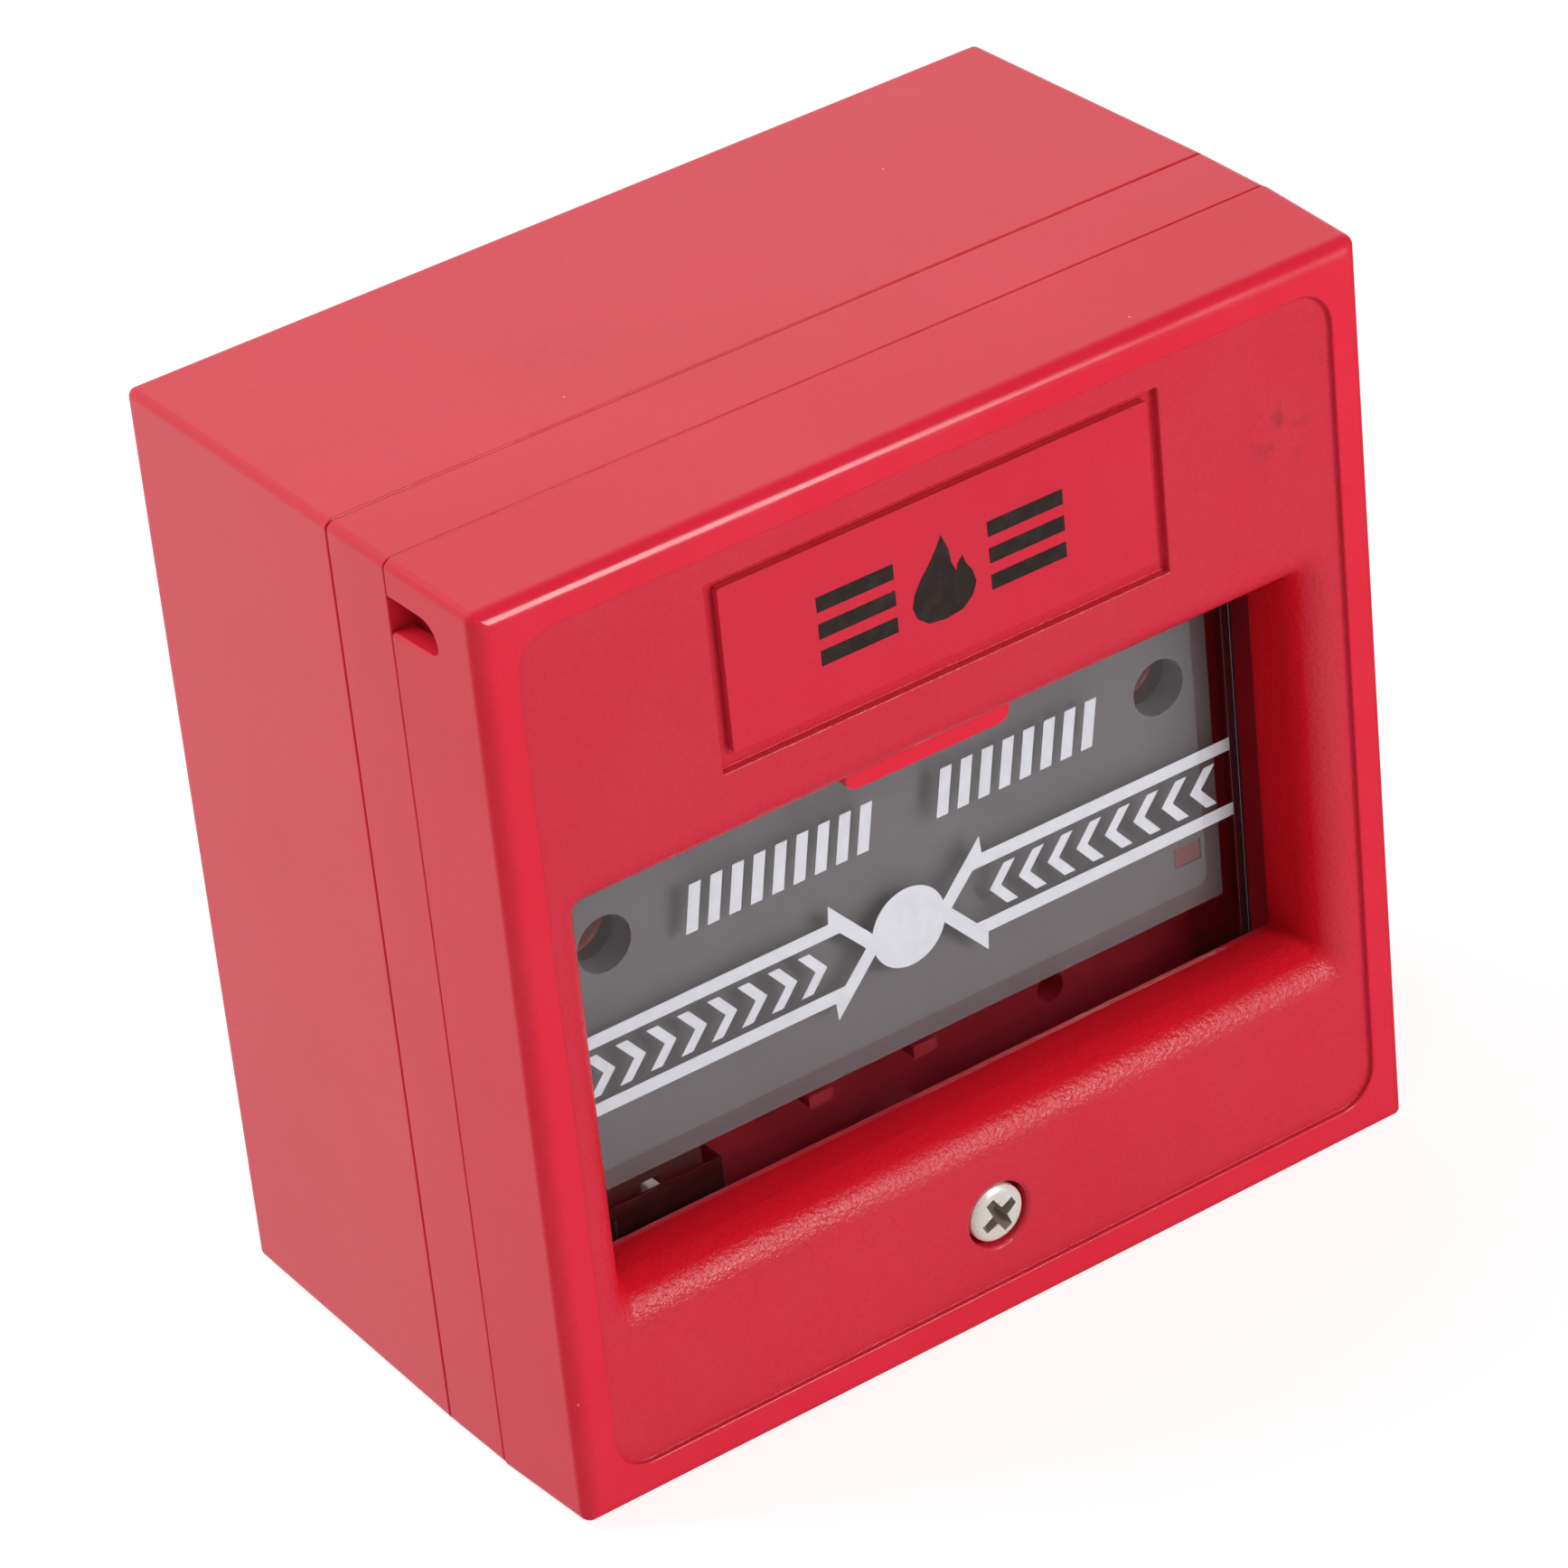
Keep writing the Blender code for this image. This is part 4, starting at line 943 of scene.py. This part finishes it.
def base_frame():
    """The middle ring and its chassis, with posts, lugs, pegs, bosses and the switch's shelf."""
    front = COVER_END + SEAM_GAP / 2
    back = RING_END - SEAM_GAP / 2
    rings = [
        (REAR_LIP_INNER, 1.0, CHASSIS_BACK),
        (REAR_LIP_INNER, 1.0, REAR_LIP_END - 0.2),
        (REAR_LIP_INNER + 0.2, 1.2, REAR_LIP_END),
        (REAR_LIP_HALF - 0.2, 1.3, REAR_LIP_END),
        (REAR_LIP_HALF, 1.4, REAR_LIP_END - 0.2),
        (REAR_LIP_HALF, 1.4, back),
    ]
    rings += [(RING_HALF - lost, CORNER, depth) for lost, depth in ease(SEAM_EDGE, back, -1)]
    rings += [(RING_HALF - lost, CORNER, depth) for lost, depth in reversed(ease(SEAM_EDGE, front, 1))]
    rings += [
        (FRONT_LIP_HALF, 1.4, front),
        (FRONT_LIP_HALF, 1.4, FRONT_LIP_START + 0.3),
        (FRONT_LIP_HALF - 0.3, 1.3, FRONT_LIP_START),
        (RING_INNER + 0.2, 1.0, FRONT_LIP_START),
        (RING_INNER, 0.8, FRONT_LIP_START + 0.2),
        (RING_INNER, 0.8, CHASSIS_FRONT),
    ]
    made = raw_object("frame_tray", stack_y([(square(h, r), d) for h, r, d in rings]))
    root = CHASSIS_FRONT + 0.7
    steps = []
    seat = PLATE_BACK + GAP
    post = [(POST_R - 0.2, seat), (POST_R, seat + 0.2), (POST_R, root)]
    for x, z in POST_PLACES:
        steps.append(("UNION", turned_y(x, z, post, 24)))
    for x, z in LUG_PLACES:
        lug = rounded(x - 1.2, x + 1.2, z - 0.6, z + 0.6, 0.2, 2)
        steps.append(("UNION", prism_y(lug, LUG_FRONT, root)))
    peg = [(SPRING_PEG_R * 0.8, SPRING_PEG_FRONT), (SPRING_PEG_R, SPRING_PEG_FRONT + 0.5)]
    peg += [(SPRING_PEG_R, root)]
    for x, z in SPRING_PLACES:
        steps.append(("UNION", turned_y(x, z, peg, 20)))
    for side in (-1, 1):
        x = side * FIXING_X
        boss = [(FIXING_BOSS_R, root), (FIXING_BOSS_R, FIXING_WELL_END)]
        steps.append(("UNION", turned_y(x, FIXING_Z, boss)))
        well = [(SCREW_BORE_R, FIXING_WELL_END + 1), (SCREW_BORE_R, FIXING_SEAT)]
        well += [(SCREW_WELL_R, FIXING_SEAT), (SCREW_WELL_R, CHASSIS_FRONT + 0.2)]
        well += [(SCREW_WELL_R + 0.25, CHASSIS_FRONT - 0.05), (SCREW_WELL_R + 0.25, CHASSIS_FRONT - 1.3)]
        steps.append(("DIFFERENCE", turned_y(x, FIXING_Z, well)))
    boss = [(FIXING_BOSS_R - 0.2, INSERT_BOSS_FRONT), (FIXING_BOSS_R, INSERT_BOSS_FRONT + 0.2)]
    boss += [(FIXING_BOSS_R, root)]
    steps.append(("UNION", turned_y(0, SCREW_Z, boss)))
    bore = [(INSERT_R + GAP, INSERT_BOSS_FRONT - 0.5), (INSERT_R + GAP, CHASSIS_BACK + 1)]
    steps.append(("DIFFERENCE", turned_y(0, SCREW_Z, bore)))
    x0, x1, _, z1 = SWITCH
    shelf = rectangle(x0 - 0.6, x1 + 0.6, SHELF_BOTTOM, SHELF_TOP)
    steps.append(("UNION", prism_y(shelf, SWITCH_FRONT, root)))
    opening = rounded(x0 - 0.5, x1 + 0.5, SHELF_TOP, z1 + 1.3, 0.3, 3)
    steps.append(("DIFFERENCE", prism_y(opening, CHASSIS_FRONT - 1, CHASSIS_BACK + 1)))
    for x in PIN_XS:
        bore = turned_z(x, PIN_DEPTH, [(PIN_HOLE_R, SHELF_BOTTOM - 1), (PIN_HOLE_R, SHELF_TOP + 1)], 16)
        steps.append(("DIFFERENCE", bore))
    for x, z in BOARD_SCREWS:
        post = [(BOARD_POST_R, root), (BOARD_POST_R, BOARD_FRONT - GAP)]
        bore = [(BOARD_BORE_R, root + 1.0), (BOARD_BORE_R, BOARD_FRONT + 1)]
        steps.append(("UNION", turned_y(x, z, post, 24)))
        steps.append(("DIFFERENCE", turned_y(x, z, bore, 16)))
    for (x, z), radius in ((LAMP_PLACE, LAMP_HOLE_R), (MOULD_HOLE, MOULD_HOLE_R)):
        bore = [(radius, CHASSIS_FRONT - 1), (radius, CHASSIS_BACK + 1)]
        steps.append(("DIFFERENCE", turned_y(x, z, bore, 24)))
    carve(made, steps)
    finish_piece(made, "root", [red_smooth, red_inside_painted_shade], ["base_frame"])
    # Faces inside the ring take the red darkened as painted shade.
    for face in made.data.polygons:
        c = face.center / MM
        well = math.hypot(abs(c.x) - FIXING_X, c.z - FIXING_Z) < FIXING_BOSS_R + 0.2
        if max(abs(c.x), abs(c.z)) < RING_INNER + 0.05 and not well:
            face.material_index = 1


def plate_details():
    """Collars behind the plate's two fixing holes, and the lamp's window in its slot."""
    collars = []
    profile = [
        (COLLAR_BORE_R, COLLAR_FRONT),
        (COLLAR_BORE_R, COLLAR_END - 0.2),
        (COLLAR_BORE_R + 0.17, COLLAR_END),
        (COLLAR_R - 0.2, COLLAR_END),
        (COLLAR_R, COLLAR_END - 0.2),
        (COLLAR_R, COLLAR_FRONT),
    ]
    for side in (-1, 1):
        around = [(circle(side * FIXING_X, FIXING_Z, radius), depth) for radius, depth in profile]
        rings = [[(x, at(depth), z) for x, z in outline] for outline, depth in around]
        collars.append(loft(rings, closed=True))
    piece("plate_collars", merged(collars), "root", [plate_grey])
    x, z = LAMP_PLACE
    half_wide, half_high = LAMP_WINDOW
    outline = rounded(x - half_wide, x + half_wide, z - half_high, z + half_high, 0.15, 3)
    window = soft_prism_y(outline, *LAMP_WINDOW_DEPTHS, 0.1)
    piece("lamp_window", window, "root", [lamp_red])


# ---------------------------------------------------------------- back box

def back_box():
    """The box on the wall, with insert bosses, wall slots, the cable entry and thinned knock-outs."""
    front = RING_END + SEAM_GAP / 2
    rings = [
        (BOX_INNER_BACK - 0.6, 0.6, DEPTH - BOX_FLOOR),
        (BOX_INNER_BACK, 1.2, DEPTH - BOX_FLOOR - 0.6),
        (BOX_INNER_FRONT - 0.15, 1.2, front + 0.15),
        (BOX_INNER_FRONT, 1.2, front),
    ]
    rings += [(RING_HALF - lost, CORNER, depth) for lost, depth in ease(SEAM_EDGE, front, 1)]
    for i in range(BOX_EDGE_STEPS + 1):
        angle = math.radians(90 * i / BOX_EDGE_STEPS)
        lost = BOX_EDGE * (1 - math.cos(angle))
        depth = DEPTH - BOX_EDGE * (1 - math.sin(angle))
        rings.append((BOX_BACK_HALF - lost, max(CORNER - lost, 0.12), depth))
    made = raw_object("box_shell", stack_y([(square(h, r), d) for h, r, d in rings]))
    floor = DEPTH - BOX_FLOOR + 0.8
    cuts = []
    for side in (-1, 1):
        x = side * FIXING_X
        wall = side * (BOX_INNER_BACK + 1)
        face = FIXING_WELL_END + GAP
        boss = [(FIXING_BOSS_R - 0.25, face), (FIXING_BOSS_R, face + 0.25), (FIXING_BOSS_R, floor)]
        cuts.append(("UNION", turned_y(x, FIXING_Z, boss)))
        web = rectangle(min(x, wall), max(x, wall), FIXING_Z - 0.8, FIXING_Z + 0.8)
        cuts.append(("UNION", prism_y(web, WEB_FRONT, floor)))
        bore = [(INSERT_R + GAP, FIXING_WELL_END), (INSERT_R + GAP, BOX_INSERT_END)]
        cuts.append(("DIFFERENCE", turned_y(x, FIXING_Z, bore)))
        z = side * BOX_SLOT_Z
        slot = (-BOX_SLOT_HALF, BOX_SLOT_HALF, z - BOX_SLOT_R, z + BOX_SLOT_R)
        profile = [(0.6, floor - 4), (0.6, floor - 0.85), (0.0, floor - 0.35), (0.0, DEPTH - 0.3)]
        profile += [(0.09, DEPTH - 0.09), (0.33, DEPTH + 0.02), (0.33, DEPTH + 1)]
        rings = [(grown(slot, growth, BOX_SLOT_R - 0.01, 10), depth) for growth, depth in profile]
        cuts.append(("DIFFERENCE", stack_y(rings)))
    profile = [(0.0, floor - 4), (0.0, DEPTH - 0.4), (0.12, DEPTH - 0.12)]
    profile += [(0.43, DEPTH + 0.02), (0.43, DEPTH + 1)]
    rings = [(grown(ENTRY, growth, ENTRY_CORNER, 8), depth) for growth, depth in profile]
    cuts.append(("DIFFERENCE", stack_y(rings)))
    for side in (-1, 1):
        disc = [(KNOCKOUT_R, side * KNOCKOUT_START), (KNOCKOUT_R, side * (HALF - KNOCKOUT_SKIN))]
        cuts.append(("DIFFERENCE", turned_z(0, KNOCKOUT_DEPTH, disc, 56)))
    carve(made, cuts)
    finish_piece(made, "root", [red_smooth], ["back_box"])


# ---------------------------------------------------------------- pane springs

def pane_spring(name):
    """A coil spring, fixed on the frame in the CAD spring's place."""
    low, high = (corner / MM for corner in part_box(name))
    middle = (low + high) / 2
    turn_radius = (high.x - low.x) / 2 - SPRING_WIRE_R
    start = low.y + SPRING_WIRE_R
    end = high.y - SPRING_WIRE_R
    steps = SPRING_TURNS * SPRING_STEPS
    rings = []
    for i in range(steps + 1):
        angle = 2 * math.pi * i / SPRING_STEPS
        share = min(max((i - SPRING_STEPS / 2) / (steps - SPRING_STEPS), 0), 1)
        y = start + (end - start) * share
        ring = []
        for k in range(SPRING_SIDES):
            around = 2 * math.pi * k / SPRING_SIDES
            out = turn_radius + SPRING_WIRE_R * math.cos(around)
            x = middle.x + out * math.cos(angle)
            z = middle.z + out * math.sin(angle)
            ring.append((x, y + SPRING_WIRE_R * math.sin(around), z))
        rings.append(ring)
    coil = name.replace("pane_spring", "coil")
    made = piece(coil, loft(rings), "root", [steel], [name])
    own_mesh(made)


# ---------------------------------------------------------------- carried-over CAD nodes

FINISHES = {
    "backing_plate": plate_grey,
    "pane": pane_finish(),
    "retaining_washer": washer_white,
    "switch_button": washer_white,
    "switch_body": black,
    "circuit_board": board_green,
    "status_lamp": lamp_finish(),
    "terminal_block": block_green,
}
FINISH_BY_START = {
    "switch_lever": blued_steel,
    "switch_pin": steel,
    "switch_terminal": brass,
    "cover_screw_insert": brass,
    "box_insert": brass,
    "frame_screw": nickel,
    "board_screw": nickel,
    "terminal_screw": nickel,
    "alarm_resistor": beige,
    "line_resistor": beige,
}
EDGES = {
    "pane": 0.0,
    "backing_plate": 0.12,
    "switch_body": 0.12,
    "terminal_block": 0.18,
    "circuit_board": 0.08,
}
EDGE = 0.05


def dress(name, node):
    """Gives a node that is shown as it is its finish and, where it has one, an eased edge."""
    finish = FINISHES.get(name)
    for start, other in FINISH_BY_START.items():
        if name.startswith(start):
            finish = other
    if finish is None:
        return
    node.data.materials.clear()
    node.data.materials.append(finish)
    weld = node.modifiers.new("weld", "WELD")
    weld.merge_threshold = 0.002 * MM
    edge = EDGES.get(name, EDGE)
    if edge:
        bevel = node.modifiers.new("edge", "BEVEL")
        bevel.width = edge * MM
        bevel.segments = 2
        bevel.limit_method = "ANGLE"
        bevel.angle_limit = math.radians(40)
        weigh = node.modifiers.new("weigh", "WEIGHTED_NORMAL")
        weigh.keep_sharp = False


# ---------------------------------------------------------------- floor, lights, camera

def area_light(name, place, size, watts, mirrored=True):
    data = bpy.data.lights.new(name, "AREA")
    data.shape = "RECTANGLE"
    data.size, data.size_y = size
    data.energy = watts
    made = bpy.data.objects.new(name, data)
    made.location = place
    towards = Vector((0, -0.025, 0)) - Vector(place)
    made.rotation_euler = towards.to_track_quat("-Z", "Y").to_euler()
    made.visible_glossy = mirrored
    scene.collection.objects.link(made)


def studio_world():
    """Soft surroundings: a bright wall behind the object that dims towards the front."""
    world = bpy.data.worlds.new("studio")
    world.use_nodes = True
    tree = world.node_tree
    background = tree.nodes["Background"]
    background.inputs["Color"].default_value = (1.0, 1.0, 1.0, 1.0)
    towards = tree.nodes.new("ShaderNodeVectorMath")
    towards.operation = "DOT_PRODUCT"
    towards.inputs[1].default_value = (0.06, 0.97, 0.10)
    tree.links.new(tree.nodes.new("ShaderNodeTexCoord").outputs["Generated"], towards.inputs[0])
    wall = tree.nodes.new("ShaderNodeMapRange")
    wall.interpolation_type = "SMOOTHSTEP"
    wall.inputs["From Min"].default_value = 0.2
    wall.inputs["From Max"].default_value = 0.85
    wall.inputs["To Min"].default_value = 0.025
    wall.inputs["To Max"].default_value = 0.88
    tree.links.new(towards.outputs["Value"], wall.inputs["Value"])
    tree.links.new(wall.outputs["Result"], background.inputs["Strength"])
    scene.world = world


def stage():
    """The floor, the lights and the surroundings."""
    mesh = bmesh.new()
    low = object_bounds()[0].z - 0.0002
    for x, y in ((-4, -4), (4, -4), (4, 4), (-4, 4)):
        mesh.verts.new((x, y, low))
    mesh.faces.new(mesh.verts)
    data = bpy.data.meshes.new("floor")
    mesh.to_mesh(data)
    mesh.free()
    floor = bpy.data.objects.new("floor", data)
    data.materials.append(floor_finish())
    scene.collection.objects.link(floor)
    floor.visible_glossy = False
    floor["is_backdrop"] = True
    studio_world()
    area_light("front_softbox", (0.40, -0.56, 0.08), (0.22, 0.22), 1.25, mirrored=False)
    area_light("key_softbox", (0.25, -0.66, 0.37), (0.25, 0.32), 2.75)
    area_light("top_fill", (-0.45, 0.42, 0.85), (0.6, 0.6), 8.3, mirrored=False)
    area_light("left_fill", (-0.45, -0.55, 0.55), (0.4, 0.4), 1.4, mirrored=False)
    scene.view_settings.view_transform = "Standard"


def camera():
    data = bpy.data.cameras.new("camera")
    data.sensor_width = 36.0
    data.lens = 167.183
    data.clip_start = 0.01
    made = bpy.data.objects.new("camera", data)
    made.location = (-0.27622, -0.45679, 0.31584)
    made.rotation_euler = [math.radians(a) for a in (58.0595, 5.0893, -35.7311)]
    scene.collection.objects.link(made)
    scene.camera = made


front_cover()
label_piece()
label_marks()
pane_marks()
cover_screw()
base_frame()
plate_details()
back_box()
for spring_name in SPRINGS:
    pane_spring(spring_name)
for node_name, cad_node in nodes.items():
    dress(node_name, cad_node)
nodes["pane"].visible_shadow = False  # light passes the clear pane to what lies behind it
stage()
camera()
